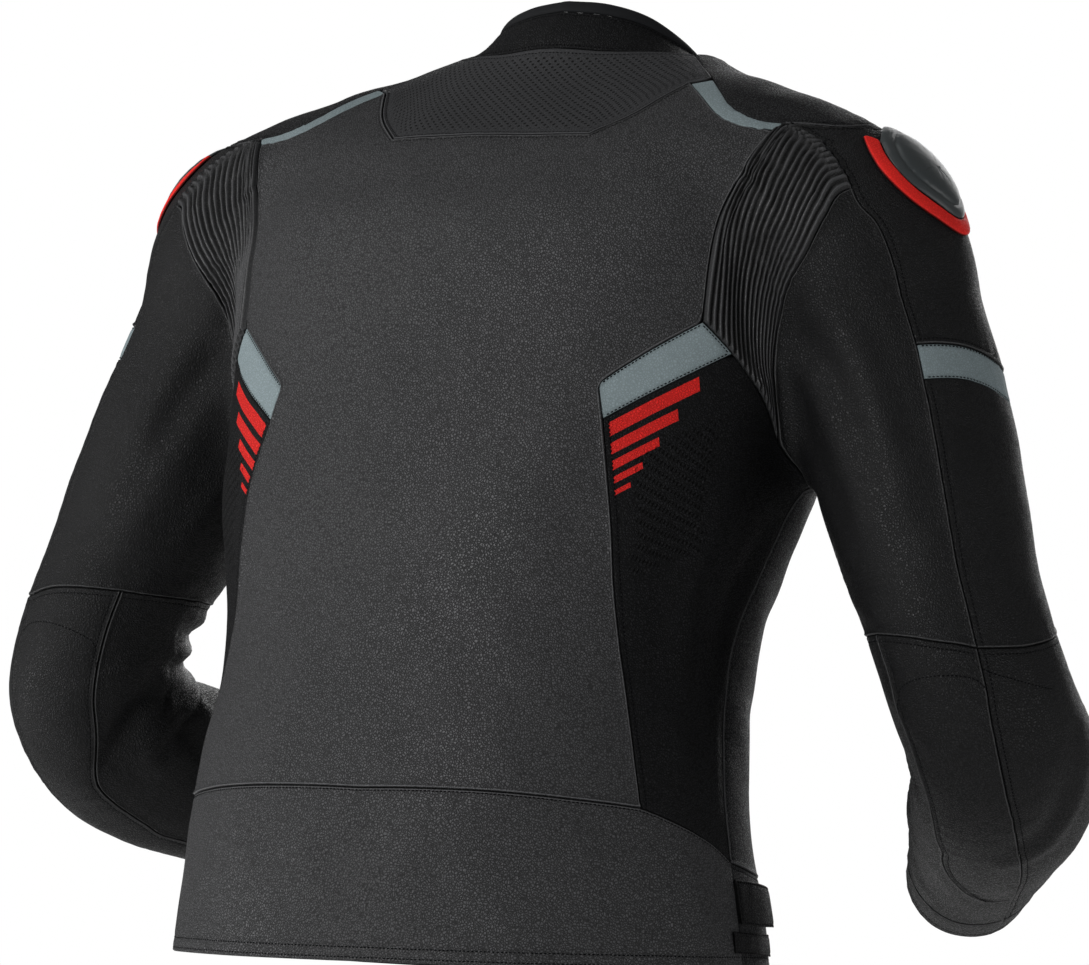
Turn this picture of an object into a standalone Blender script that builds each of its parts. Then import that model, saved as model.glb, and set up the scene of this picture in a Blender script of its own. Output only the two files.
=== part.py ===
"""Leather motorcycle jacket, standing open and hollow as if worn.

Metres.  +Z is up, the fronts face -Y, the wearer's right is -X.
The origin is the middle of the neck seam, where the jacket is held.
Every leather piece is a wall between seams that lie on one smooth form.
Tables give points of the wearer's left half as out, back, up.
"""
import math

import bmesh
import bpy
import numpy as np
from mathutils import Matrix

# ---- named sizes -----------------------------------------------------------
LEATHER = 0.0022          # wall of leather and lining
SEAM_GAP = 0.0003         # between two pieces at a seam
TIGHT_BACK = 0.0003       # drawn back on one side of a seam in a hollow
LIFT = 0.0005             # under a piece that lies on another
BLEND = 0.030             # softening where sleeve meets body
RIBS = 16                 # stretch ribs on each shoulder blade
RIB_HEIGHT = 0.0014
FRONT_EDGE = 0.0060       # half the gap between the two fronts
LEFT_SLEEVE_PULL = 0.022  # the left sleeve's cross seams sit this much higher
SLEEVE_CUFF_SEAM = 0.700  # along the arm line
SLEEVE_END = 0.746
CUP_RISE = 0.0045
CUP_WALL = 0.0018
CUP_LIFT = 0.0009
EVEN_ROUNDS = 60          # times a net of points is evened out
TAPE_WIDTH = 0.0115
TAPE_WALL = 0.0009

# level, middle back, half width, back depth, front depth, roundness
BODY_RINGS = np.array([
    (-0.680, 0.178, 0.207, 0.146, 0.138, 2.30),
    (-0.600, 0.176, 0.204, 0.146, 0.138, 2.30),
    (-0.500, 0.172, 0.188, 0.143, 0.134, 2.30),
    (-0.400, 0.141, 0.183, 0.141, 0.131, 2.35),
    (-0.300, 0.108, 0.205, 0.148, 0.142, 2.40),
    (-0.200, 0.078, 0.214, 0.144, 0.146, 2.45),
    (-0.130, 0.068, 0.218, 0.132, 0.134, 2.40),
    (-0.095, 0.068, 0.224, 0.108, 0.129, 2.20),
    (-0.071, 0.066, 0.220, 0.088, 0.123, 2.10),
    (-0.051, 0.062, 0.190, 0.064, 0.115, 2.00),
    (-0.028, 0.044, 0.131, 0.048, 0.098, 2.00),
    (-0.011, 0.018, 0.092, 0.056, 0.078, 2.00),
    (0.005, 0.000, 0.070, 0.066, 0.066, 2.00),
    (0.035, -0.012, 0.062, 0.062, 0.062, 2.00),
])
# out, back, up, side radius, fore and aft radius
ARM_LINE = np.array([
    (0.140, 0.062, -0.093, 0.0580, 0.0660),
    (0.226, 0.070, -0.134, 0.0675, 0.0740),
    (0.251, 0.070, -0.200, 0.0680, 0.0720),
    (0.275, 0.081, -0.262, 0.0680, 0.0710),
    (0.299, 0.096, -0.325, 0.0645, 0.0680),
    (0.318, 0.107, -0.370, 0.0590, 0.0640),
    (0.332, 0.111, -0.405, 0.0575, 0.0640),
    (0.342, 0.106, -0.440, 0.0575, 0.0640),
    (0.344, 0.082, -0.474, 0.0575, 0.0640),
    (0.329, 0.045, -0.498, 0.0570, 0.0630),
    (0.301, 0.003, -0.516, 0.0550, 0.0580),
    (0.271, -0.044, -0.536, 0.0500, 0.0510),
    (0.240, -0.091, -0.554, 0.0450, 0.0460),
    (0.221, -0.121, -0.566, 0.0425, 0.0435),
    (0.202, -0.151, -0.578, 0.0420, 0.0430),
])


# ---- the form --------------------------------------------------------------
def smooth_rows(rows, steps):
    """Catmull-Rom curve through the rows of a table."""
    rows = np.asarray(rows, float)
    last = len(rows) - 1
    t = np.linspace(0.0, last, steps)
    i = np.minimum(t.astype(int), last - 1)
    f = (t - i)[:, None]
    a = rows[np.maximum(i - 1, 0)]
    b = rows[i]
    c = rows[i + 1]
    d = rows[np.minimum(i + 2, last)]
    return 0.5 * (2 * b + (c - a) * f + (2 * a - 5 * b + 4 * c - d) * f**2
                  + (3 * b - a - 3 * c + d) * f**3)


BODY_FINE = smooth_rows(BODY_RINGS, 420)
ARM_FINE = smooth_rows(ARM_LINE, 260)
ARM_MID = ARM_FINE[:, :3]
ARM_STEP = np.linalg.norm(np.diff(ARM_MID, axis=0), axis=1)
ARM_LENGTH = np.concatenate([[0.0], np.cumsum(ARM_STEP)])
ARM_WAY = np.gradient(ARM_MID, axis=0)
ARM_WAY /= np.linalg.norm(ARM_WAY, axis=1)[:, None]
ARM_AFT = np.array([0.0, 1.0, 0.0]) - ARM_WAY * ARM_WAY[:, 1:2]
ARM_AFT /= np.linalg.norm(ARM_AFT, axis=1)[:, None]
ARM_OUT = np.cross(ARM_WAY, ARM_AFT)


def body_gap(p):
    """Signed distance to the body's ring at the point's level."""
    ring = [np.interp(p[:, 2], BODY_FINE[:, 0], BODY_FINE[:, k]) for k in range(1, 6)]
    mid, half, back, front, power = ring
    dy = p[:, 1] - mid
    depth = np.where(dy > 0, back, front)
    level = np.abs(p[:, 0] / half)**power + np.abs(dy / depth)**power
    level = np.maximum(level, 1e-9)**(1 / power)
    return np.hypot(p[:, 0], dy) * (1 - 1 / level)


def sleeve_gap(p):
    """Signed distance to the sleeve's tube."""
    q = np.column_stack([np.abs(p[:, 0]), p[:, 1], p[:, 2]])
    far = ((q[:, None, :] - ARM_MID[None])**2).sum(axis=2)
    i = np.argmin(far, axis=1)
    v = q - ARM_MID[i]
    past = (v * ARM_WAY[i]).sum(axis=1)
    v = v - np.where((i == 0) & (past < 0), 0.0, past)[:, None] * ARM_WAY[i]
    rho = np.maximum(np.linalg.norm(v, axis=1), 1e-9)
    aft = (v * ARM_AFT[i]).sum(axis=1) / rho
    round_ = (aft / ARM_FINE[i, 4])**2 + (1 - aft**2) / ARM_FINE[i, 3]**2
    return rho - 1 / np.sqrt(round_)


def form_gap(p):
    """Body and sleeves run together as one soft form."""
    a = body_gap(p)
    b = sleeve_gap(p)
    h = np.clip(0.5 + 0.5 * (b - a) / BLEND, 0.0, 1.0)
    return b * (1 - h) + a * h - BLEND * h * (1 - h)


def form_slope(p):
    step = 4e-4
    slope = np.zeros_like(p)
    for k in range(3):
        d = np.zeros(3)
        d[k] = step
        slope[:, k] = (form_gap(p + d) - form_gap(p - d)) / (2 * step)
    return slope


def outward(p):
    slope = form_slope(p)
    return slope / np.linalg.norm(slope, axis=1)[:, None]


def settle(p, rounds=7):
    """Move points square onto the form."""
    p = np.array(p, float)
    for _ in range(rounds):
        slope = form_slope(p)
        size = np.maximum((slope * slope).sum(axis=1), 0.25)
        move = (form_gap(p) / size)[:, None] * slope
        far = np.linalg.norm(move, axis=1)
        p -= move * np.minimum(1.0, 0.02 / np.maximum(far, 1e-9))[:, None]
    return p


def along(points, count):
    """The same line cut into equal lengths."""
    points = np.asarray(points, float)
    run = np.concatenate([[0], np.cumsum(np.linalg.norm(np.diff(points[:, :3], axis=0), axis=1))])
    at = np.linspace(0, run[-1], count + 1)
    return np.column_stack([np.interp(at, run, points[:, k]) for k in range(points.shape[1])])


def seam(rows, count):
    """A seam through the rows, on the form, with its outward directions."""
    line = settle(smooth_rows(rows, 24 * (len(rows) - 1) + 1))
    line = settle(along(line, count))
    return np.hstack([line, outward(line)])


def refine(edge, times):
    """More points on the same straight pieces of a seam."""
    at = np.linspace(0, len(edge) - 1, (len(edge) - 1) * times + 1)
    return np.column_stack([np.interp(at, np.arange(len(edge)), edge[:, k]) for k in range(6)])


def part_way(edge, count):
    """Some of the straight pieces of a seam in two, to make up the count."""
    spare = count - (len(edge) - 1)
    halves = np.round(np.linspace(0, len(edge) - 2, spare)).astype(int) + 0.5
    at = np.sort(np.concatenate([np.arange(len(edge)), halves]))
    return np.column_stack([np.interp(at, np.arange(len(edge)), edge[:, k]) for k in range(6)])


def join(*edges):
    parts = [edges[0]] + [e[1:] for e in edges[1:]]
    return np.vstack(parts)


def flip(edge):
    return edge[::-1]


def arm_spots(rows, steps=60):
    """Rows of sleeve length and angle, 0 at the back and 90 at the outer side."""
    rows = smooth_rows(rows, steps)
    s = np.clip(rows[:, 0], 0, ARM_LENGTH[-1])
    w = np.radians(rows[:, 1])
    mid = np.column_stack([np.interp(s, ARM_LENGTH, ARM_MID[:, k]) for k in range(3)])
    aft = np.column_stack([np.interp(s, ARM_LENGTH, ARM_AFT[:, k]) for k in range(3)])
    out = np.column_stack([np.interp(s, ARM_LENGTH, ARM_OUT[:, k]) for k in range(3)])
    side = np.interp(s, ARM_LENGTH, ARM_FINE[:, 3])
    fore = np.interp(s, ARM_LENGTH, ARM_FINE[:, 4])
    r = 1 / np.sqrt((np.cos(w) / fore)**2 + (np.sin(w) / side)**2)
    return mid + r[:, None] * (np.cos(w)[:, None] * aft + np.sin(w)[:, None] * out)


# ---- seams of the body, left half: out, back, up ---------------------------
NECK_BACK = [(0.0000, 0.0720, -0.0075), (0.0382, 0.0687, -0.0085), (0.0684, 0.0541, -0.0093),
             (0.0910, 0.0330, -0.0115)]
NECK_FRONT = [(0.0910, 0.0330, -0.0115), (0.0890, 0.0020, -0.0230), (0.0700, -0.0330, -0.0480),
              (0.0360, -0.0540, -0.0680), (FRONT_EDGE, -0.0580, -0.0750)]
NECK_TO_STRIP = [(0.0910, 0.0330, -0.0115), (0.1120, 0.0580, -0.0220), (0.1297, 0.0783, -0.0319)]
STRIP_END = [(0.1180, 0.0890, -0.0340), (0.1297, 0.0783, -0.0319)]
STRIP_HIGH = [(0.1297, 0.0783, -0.0319), (0.1620, 0.1144, -0.0472), (0.1830, 0.1205, -0.0565),
              (0.2050, 0.1184, -0.0597)]
STRIP_LOW = [(0.1180, 0.0890, -0.0340), (0.1527, 0.1220, -0.0512), (0.1732, 0.1281, -0.0606),
             (0.2000, 0.1257, -0.0644)]
YOKE_SIDE = [(0.0755, 0.1507, -0.0682), (0.1002, 0.1248, -0.0505), (0.1180, 0.0890, -0.0340)]
YOKE_LOW = [(0.0000, 0.1548, -0.0678), (0.0755, 0.1507, -0.0682)]
YOKE_MIDDLE = [(0.0000, 0.0720, -0.0075), (0.0000, 0.1150, -0.0400), (0.0000, 0.1548, -0.0678)]
BACK_MIDDLE = [(0.0000, 0.1548, -0.0678), (0.0000, 0.2228, -0.2000), (0.0000, 0.2600, -0.3100),
               (0.0000, 0.2920, -0.4000), (0.0000, 0.3172, -0.4949)]
RIBS_TOP_END = [(0.2000, 0.1257, -0.0644), (0.2050, 0.1184, -0.0597)]
RIBS_TOP = [(0.2050, 0.1184, -0.0597), (0.2288, 0.1218, -0.0696), (0.2423, 0.1265, -0.0792),
            (0.2565, 0.1329, -0.0947), (0.2641, 0.1362, -0.1060)]
RIBS_INNER = [(0.2000, 0.1257, -0.0644), (0.1944, 0.1374, -0.0772), (0.1874, 0.1476, -0.0970),
              (0.1785, 0.1585, -0.1264), (0.1750, 0.1657, -0.1558), (0.1747, 0.1718, -0.1818),
              (0.1749, 0.1750, -0.1961)]
RIBS_OUTER = [(0.2641, 0.1362, -0.1060), (0.2555, 0.1435, -0.1113), (0.2479, 0.1513, -0.1275),
              (0.2373, 0.1547, -0.1468), (0.2270, 0.1531, -0.1627), (0.2197, 0.1504, -0.1755),
              (0.2158, 0.1486, -0.1883), (0.2125, 0.1465, -0.2077), (0.2105, 0.1430, -0.2350),
              (0.2108, 0.1349, -0.2756)]
FLASH_OUTER = [(0.1749, 0.1750, -0.1961), (0.1902, 0.1638, -0.2168)]
RIBS_LOW = [(0.1902, 0.1638, -0.2168), (0.2030, 0.1492, -0.2413), (0.2082, 0.1424, -0.2562),
            (0.2108, 0.1349, -0.2756)]
FLASH_HIGH = [(0.1749, 0.1750, -0.1961), (0.1488, 0.1985, -0.2144), (0.1212, 0.2180, -0.2358)]
FLASH_INNER = [(0.1212, 0.2180, -0.2358), (0.1271, 0.2232, -0.2584)]
FLASH_LOW = [(0.1271, 0.2232, -0.2584), (0.1524, 0.2050, -0.2423), (0.1765, 0.1819, -0.2267),
             (0.1902, 0.1638, -0.2168)]
SIDE_BACK = [(0.1271, 0.2232, -0.2584), (0.1322, 0.2283, -0.2810), (0.1411, 0.2361, -0.3241),
             (0.1490, 0.2423, -0.3740), (0.1618, 0.2456, -0.4390), (0.1739, 0.2502, -0.5069)]
WAIST_BACK = [(0.0000, 0.3172, -0.4949), (0.0659, 0.3118, -0.4948), (0.1246, 0.2923, -0.4987),
              (0.1537, 0.2727, -0.5026), (0.1739, 0.2502, -0.5069)]
WAIST_SIDE = [(0.1739, 0.2502, -0.5069), (0.1859, 0.2298, -0.5158), (0.1927, 0.2115, -0.5241),
              (0.1964, 0.1942, -0.5325), (0.1990, 0.1746, -0.5449)]
WAIST_FRONT = [(0.1990, 0.1746, -0.5449), (0.1930, 0.1250, -0.5560), (0.1600, 0.0800, -0.5640),
               (0.0900, 0.0520, -0.5700), (FRONT_EDGE, 0.0480, -0.5720)]
HEM_BACK = [(0.0000, 0.3220, -0.6070), (0.0900, 0.3140, -0.6075), (0.1600, 0.2800, -0.6090),
            (0.1880, 0.2500, -0.6105)]
HEM_SIDE = [(0.1880, 0.2500, -0.6105), (0.2030, 0.2200, -0.6125), (0.2080, 0.1760, -0.6150)]
HEM_FRONT = [(0.2080, 0.1760, -0.6150), (0.1990, 0.1200, -0.6200), (0.1600, 0.0760, -0.6270),
             (0.0900, 0.0520, -0.6310), (FRONT_EDGE, 0.0480, -0.6330)]
ARMHOLE_TOP = [(0.2050, 0.1184, -0.0597), (0.2240, 0.1110, -0.0610), (0.2420, 0.0960, -0.0660),
               (0.2450, 0.0680, -0.0690), (0.2380, 0.0380, -0.0820), (0.2290, 0.0140, -0.1080),
               (0.2200, -0.0010, -0.1400)]
ARMHOLE_LOW = [(0.2200, -0.0010, -0.1400), (0.2120, -0.0060, -0.1850), (0.2070, 0.0070, -0.2350),
               (0.2100, 0.0430, -0.2780), (0.2155, 0.0930, -0.3000)]
ARMHOLE_UNDER = [(0.2155, 0.0930, -0.3000), (0.2140, 0.1170, -0.2930), (0.2108, 0.1349, -0.2756)]
SIDE_FRONT = [(0.2155, 0.0930, -0.3000), (0.2010, 0.1230, -0.3500), (0.1880, 0.1500, -0.4100),
              (0.1890, 0.1700, -0.4800), (0.1990, 0.1746, -0.5449)]
FRONT_MIDDLE = [(FRONT_EDGE, -0.0580, -0.0750), (FRONT_EDGE, -0.0680, -0.1600),
                (FRONT_EDGE, -0.0500, -0.2500), (FRONT_EDGE, 0.0000, -0.3600),
                (FRONT_EDGE, 0.0350, -0.4700), (FRONT_EDGE, 0.0480, -0.5720)]
# the long seam down the back of the sleeve
LONG_UPPER = [(0.2641, 0.1362, -0.1060), (0.2714, 0.1379, -0.1179), (0.2827, 0.1345, -0.1296),
              (0.2926, 0.1326, -0.1503), (0.3007, 0.1316, -0.1762), (0.3115, 0.1344, -0.2053),
              (0.3192, 0.1390, -0.2317), (0.3248, 0.1423, -0.2472), (0.3331, 0.1488, -0.2729),
              (0.3450, 0.1583, -0.3111), (0.3557, 0.1656, -0.3492), (0.3647, 0.1695, -0.3745),
              (0.3727, 0.1713, -0.4016), (0.3790, 0.1700, -0.4313), (0.3807, 0.1649, -0.4567),
              (0.3790, 0.1440, -0.4994), (0.3695, 0.1087, -0.5318), (0.3480, 0.0580, -0.5560),
              (0.3215, 0.0086, -0.5719), (0.2920, -0.0430, -0.5860), (0.2617, -0.0927, -0.5980)]
# sleeve length and angle
LONG_FRONT = [(0.170, 170.0), (0.240, 160.0), (0.320, 152.0), (0.400, 146.0), (0.470, 144.0),
              (0.600, 144.0), (0.700, 144.0)]
BAND_TOP = [(0.2080, 47.0), (0.2100, 70.0), (0.2150, 100.0), (0.2130, 130.0), (0.2080, 163.0)]
BAND_WIDTH = 0.0245
ELBOW_OUTER = [(0.4020, 36.0), (0.4070, 70.0), (0.4040, 110.0), (0.3900, 146.0)]
ELBOW_BACK = [(0.4020, 36.0), (0.3910, 10.0), (0.3770, -30.0)]
ELBOW_INNER = [(0.3770, -30.0), (0.3660, -75.0), (0.3640, -120.0), (0.3740, -170.0), (0.3900, -214.0)]
POCKET = [(0.3770, -30.0), (0.4330, -31.0), (0.4600, -27.0), (0.4900, -6.0), (0.5350, 20.0),
          (0.5850, 38.0), (0.6130, 57.0)]
POCKET_END = [(0.6130, 57.0), (0.6160, 78.0)]
CUFF_SEAM_OUTER = [(0.700, 87.0), (0.700, 115.0), (0.700, 144.0)]
CUFF_SEAM_INNER = [(0.700, 87.0), (0.700, 0.0), (0.700, -120.0), (0.700, -216.0)]
# the collar's upper rim, from the back to the front
COLLAR_RIM = [(0.0000, 0.0460, 0.0260), (0.0300, 0.0410, 0.0220), (0.0550, 0.0260, 0.0130),
              (0.0690, 0.0020, -0.0040), (0.0620, -0.0260, -0.0180), (0.0360, -0.0450, -0.0300),
              (FRONT_EDGE, -0.0510, -0.0360)]
COLLAR_TRIM_FROM = 0.78
# the shoulder cup's border: outer line from the top of the back to the top of the front
CUP_BORDER = [(0.2550, 0.1018, -0.0707), (0.2638, 0.1146, -0.0831), (0.2744, 0.1169, -0.0945),
              (0.2873, 0.1164, -0.1103), (0.2993, 0.1044, -0.1211), (0.3071, 0.0870, -0.1297),
              (0.3110, 0.0660, -0.1450), (0.3050, 0.0440, -0.1380), (0.2960, 0.0290, -0.1260),
              (0.2830, 0.0180, -0.1120), (0.2700, 0.0160, -0.0960), (0.2580, 0.0260, -0.0800)]
CUP_MIDDLE = (0.2840, 0.0680, -0.0980)
CUP_BORDER_WIDTH = 0.0110
CUP_TOP = (0.2500, 0.0640, -0.0690)
# the adjuster at the hip: back and level of its corners, stand-off at each end
HIP_TAB_TOP = [(0.2000, 0.1760, -0.5560), (0.2000, 0.1500, -0.5590), (0.1960, 0.1180, -0.5640)]
HIP_TAB_LOW = [(0.2040, 0.1760, -0.5850), (0.2040, 0.1500, -0.5880), (0.2000, 0.1180, -0.5900)]
HIP_STRAP_TOP = [(0.2040, 0.1860, -0.5890), (0.2060, 0.1550, -0.5920), (0.2020, 0.1200, -0.5940)]
HIP_STRAP_LOW = [(0.2060, 0.1860, -0.6030), (0.2070, 0.1550, -0.6060), (0.2020, 0.1200, -0.6090)]


# ---- pieces ----------------------------------------------------------------
for old in list(bpy.data.objects):
    bpy.data.objects.remove(old, do_unlink=True)
jacket = bpy.data.collections.new("motorcycle_jacket")
bpy.context.scene.collection.children.link(jacket)
cutters = bpy.data.collections.new("cutters")
bpy.context.scene.collection.children.link(cutters)


def paint(obj, name, colour, roughness, metallic=0.0):
    mat = bpy.data.materials.new(name)
    mat.use_nodes = True
    shader = mat.node_tree.nodes["Principled BSDF"]
    shader.inputs["Base Color"].default_value = (*colour, 1.0)
    shader.inputs["Roughness"].default_value = roughness
    shader.inputs["Metallic"].default_value = metallic
    obj.data.materials.clear()
    obj.data.materials.append(mat)


def black(obj):
    paint(obj, obj.name + "_black_leather", (0.022, 0.023, 0.026), 0.55)


def grey(obj):
    paint(obj, obj.name + "_grey_leather", (0.115, 0.145, 0.155), 0.55)


def red(obj):
    paint(obj, obj.name + "_red_leather", (0.78, 0.020, 0.018), 0.50)


def add_mesh(name, verts, faces):
    mesh = bpy.data.meshes.new(name)
    mesh.from_pydata([tuple(v) for v in verts], [], faces)
    bm = bmesh.new()
    bm.from_mesh(mesh)
    bmesh.ops.recalc_face_normals(bm, faces=bm.faces)
    bm.to_mesh(mesh)
    bm.free()
    obj = bpy.data.objects.new(name, mesh)
    jacket.objects.link(obj)
    return obj


def even_out(net):
    """Each inner point moved to where the crossing lines of the net run evenly and never fold over."""
    rows, cols = net.shape[:2]
    for k in range(EVEN_ROUNDS):
        x, back, on = net[1:-1, 1:-1], net[:-2], net[2:]
        across = (net[1:-1, 2:] - net[1:-1, :-2]) / 2
        down = (on[:, 1:-1] - back[:, 1:-1]) / 2
        wide = (across * across).sum(axis=2, keepdims=True)
        tall = (down * down).sum(axis=2, keepdims=True)
        skew = (across * down).sum(axis=2, keepdims=True)
        twist = (on[:, 2:] - on[:, :-2] - back[:, 2:] + back[:, :-2]) / 4
        even = (tall * (net[1:-1, 2:] + net[1:-1, :-2]) + wide * (on[:, 1:-1] + back[:, 1:-1])
                - 2 * skew * twist) / (2 * (wide + tall))
        inside = (0.3 * x + 0.7 * even).reshape(-1, 3)
        if k % 4 == 3:
            inside = settle(inside, 2)
        net[1:-1, 1:-1] = inside.reshape(rows - 2, cols - 2, 3)
    return net


def patch(top, bottom, left, right):
    """A net of points between four seams, on the form."""
    rows = len(left)
    cols = len(top)
    u = np.linspace(0, 1, cols)[None, :, None]
    v = np.linspace(0, 1, rows)[:, None, None]
    t, b, l, r = top[None, :, :3], bottom[None, :, :3], left[:, None, :3], right[:, None, :3]
    net = (1 - v) * t + v * b + (1 - u) * l + u * r
    net -= (1 - u) * (1 - v) * t[:, :1] + u * (1 - v) * t[:, -1:]
    net -= (1 - u) * v * b[:, :1] + u * v * b[:, -1:]
    net[0], net[-1], net[:, 0], net[:, -1] = t[0], b[0], l[:, 0], r[:, 0]
    net[1:-1, 1:-1] = settle(net[1:-1, 1:-1].reshape(-1, 3), 9).reshape(rows - 2, cols - 2, 3)
    inside = settle(even_out(net)[1:-1, 1:-1].reshape(-1, 3), 4)
    points = np.zeros((rows, cols, 6))
    points[1:-1, 1:-1] = np.hstack([inside, outward(inside)]).reshape(rows - 2, cols - 2, 6)
    points[0], points[-1], points[:, 0], points[:, -1] = top, bottom, left, right
    return points


def pull_in(net, sides, back=SEAM_GAP / 2):
    """Draw the named sides of a net back, by half a seam gap unless told."""
    moved = net.copy()
    lines = {"top": (net[0], net[1]), "bottom": (net[-1], net[-2]),
             "left": (net[:, 0], net[:, 1]), "right": (net[:, -1], net[:, -2])}
    for side in sides:
        edge, within = lines[side]
        run = np.diff(edge[:, :3], axis=0)
        across = np.cross(run, edge[1:, 3:] + edge[:-1, 3:])
        across /= np.maximum(np.linalg.norm(across, axis=1), 1e-12)[:, None]
        before = np.vstack([across[:1], across])
        after = np.vstack([across, across[-1:]])
        meet = 1 + (before * after).sum(axis=1)
        across = (before + after) / np.maximum(meet, 0.4)[:, None]
        facing = (across * (within[:, :3] - edge[:, :3])).sum(axis=1)
        across *= np.where(np.median(facing) < 0, -1.0, 1.0) * back
        if side == "top":
            moved[0, :, :3] += across
        elif side == "bottom":
            moved[-1, :, :3] += across
        elif side == "left":
            moved[:, 0, :3] += across
        else:
            moved[:, -1, :3] += across
    return moved


ALL_SIDES = ("top", "bottom", "left", "right")


def both_halves(net):
    """Put the mirror image of a half in front of it, sharing the middle column."""
    other = net[:, :0:-1] * np.array([-1, 1, 1, -1, 1, 1])
    return np.concatenate([other, net], axis=1)


def wall(name, net, thick=LEATHER, lift=0.0, raised=None, coarse=1, ring=False, mirror=False):
    """A closed wall: the net moved out by lift and thick, and moved out by lift."""
    rows, cols = net.shape[:2]
    high = net[:, :, :3] + net[:, :, 3:] * lift
    if raised is not None:
        high = high + net[:, :, 3:] * raised[:, :, None]
    low = (net[:, :, :3] + net[:, :, 3:] * (lift - thick))[:, ::coarse]
    low_cols = low.shape[1]
    verts = np.vstack([high.reshape(-1, 3), low.reshape(-1, 3)])
    if mirror:
        verts = verts * np.array([-1, 1, 1])
    base = rows * cols
    faces = []
    last = cols if ring else cols - 1
    for i in range(rows - 1):
        for j in range(last):
            k = (j + 1) % cols
            faces.append((i * cols + j, i * cols + k, (i + 1) * cols + k, (i + 1) * cols + j))
    low_last = low_cols if ring else low_cols - 1
    for i in range(rows - 1):
        for j in range(low_last):
            k = (j + 1) % low_cols
            a, b = base + i * low_cols, base + (i + 1) * low_cols
            faces.append((a + j, b + j, b + k, a + k))
    for i in (0, rows - 1):
        for j in range(low_last):
            k = (j + 1) % low_cols
            outer = [i * cols + (j * coarse + m) % cols for m in range(coarse + 1)]
            faces.append((*outer, base + i * low_cols + k, base + i * low_cols + j))
    if not ring:
        for j, m in ((0, 0), (cols - 1, low_cols - 1)):
            for i in range(rows - 1):
                a, b = base + i * low_cols + m, base + (i + 1) * low_cols + m
                faces.append((i * cols + j, (i + 1) * cols + j, b, a))
    return add_mesh(name, verts, faces)


def pair(name, net, colour, **options):
    """The same piece on both halves of the jacket."""
    for side, mirror in (("right", True), ("left", False)):
        colour(wall(name + "_" + side, net, mirror=mirror, **options))


# seams shared by the pieces, each with its count of straight pieces
neck_back = seam(NECK_BACK, 7)
neck_front = seam(NECK_FRONT, 4)
neck_to_strip = seam(NECK_TO_STRIP, 2)
strip_end = seam(STRIP_END, 2)
strip_high = seam(STRIP_HIGH, 4)
strip_low = seam(STRIP_LOW, 4)
yoke_side = seam(YOKE_SIDE, 4)
yoke_low = seam(YOKE_LOW, 3)
yoke_middle = seam(YOKE_MIDDLE, 4)
back_middle = seam(BACK_MIDDLE, 26)
ribs_top_end = seam(RIBS_TOP_END, 1)
ribs_top = seam(RIBS_TOP, 5)
ribs_inner = seam(RIBS_INNER, 8)
ribs_outer = seam(RIBS_OUTER, 8)
flash_outer = seam(FLASH_OUTER, 2)
ribs_low = seam(RIBS_LOW, 4)
flash_high = seam(FLASH_HIGH, 4)
flash_inner = seam(FLASH_INNER, 2)
flash_low = seam(FLASH_LOW, 4)
side_back = seam(SIDE_BACK, 8)
side_front = seam(SIDE_FRONT, 8)
waist_back = seam(WAIST_BACK, 7)
waist_side = seam(WAIST_SIDE, 10)
waist_front = seam(WAIST_FRONT, 10)
armhole_top = seam(ARMHOLE_TOP, 7)
armhole_low = seam(ARMHOLE_LOW, 5)
armhole_under = seam(ARMHOLE_UNDER, 2)
front_middle = seam(FRONT_MIDDLE, 20)

# back yoke, from the neck seam down to its straight foot
yoke = patch(neck_back, join(yoke_low, yoke_side), yoke_middle, join(neck_to_strip, flip(strip_end)))
yoke = pull_in(yoke, ("top", "bottom", "right"), TIGHT_BACK)
black(wall("back_yoke", both_halves(yoke)))

# grey strip along the back of the shoulder
strip = patch(strip_high, strip_low, flip(strip_end), flip(refine(ribs_top_end, 2)))
pair("shoulder_strip", pull_in(strip, ALL_SIDES, TIGHT_BACK), grey)

# back panel
back_top = join(yoke_low, yoke_side)
back_side = join(strip_low, ribs_inner, flash_high, flash_inner, side_back)
back = patch(back_top, waist_back, back_middle, back_side)
back = pull_in(back, ("top", "bottom", "right"), 0.0002)
black(wall("back_panel", both_halves(back)))

# stretch ribs over the shoulder blade
ribs_head = refine(join(ribs_top_end, ribs_top), RIBS * 3 // 6)
ribs_foot = refine(join(flash_outer, ribs_low), RIBS * 3 // 6)
ribs = patch(ribs_head, ribs_foot, ribs_inner, ribs_outer)
ribs = pull_in(ribs, ALL_SIDES)
crest = np.tile([0.0, RIB_HEIGHT, RIB_HEIGHT], RIBS + 1)[:RIBS * 3 + 1]
crest[-1] = 0.0
# the ribs beside the sleeve lie lower, most of all in the hollow under the arm
low_side = np.clip((RIBS * 3 - np.arange(RIBS * 3 + 1)) / 12.0, 0.0, 1.0)
low_down = np.linspace(0.0, 1.0, 9)[:, None]
crest = crest[None] * (1 - low_down * (1 - low_side[None]))
pair("stretch_panel", ribs, black, raised=crest, coarse=3)

# grey flash under the ribs and the side panel below it
flash = patch(flash_high[::-1], flash_low, flash_inner, flash_outer)
pair("side_flash", pull_in(flash, ALL_SIDES), grey)
side_top = join(flash_low, ribs_low, flip(armhole_under))
side = patch(side_top, waist_side, side_back, side_front)
pair("side_panel", pull_in(side, ALL_SIDES, TIGHT_BACK), black)

# fronts, from the middle to the side seam
front_top = join(flip(neck_front), neck_to_strip, strip_high)
front_side = join(armhole_top, armhole_low, side_front)
front = patch(front_top, flip(waist_front), front_middle, front_side)
pair("front_panel", pull_in(front, ALL_SIDES, 0.0002), black)

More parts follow.
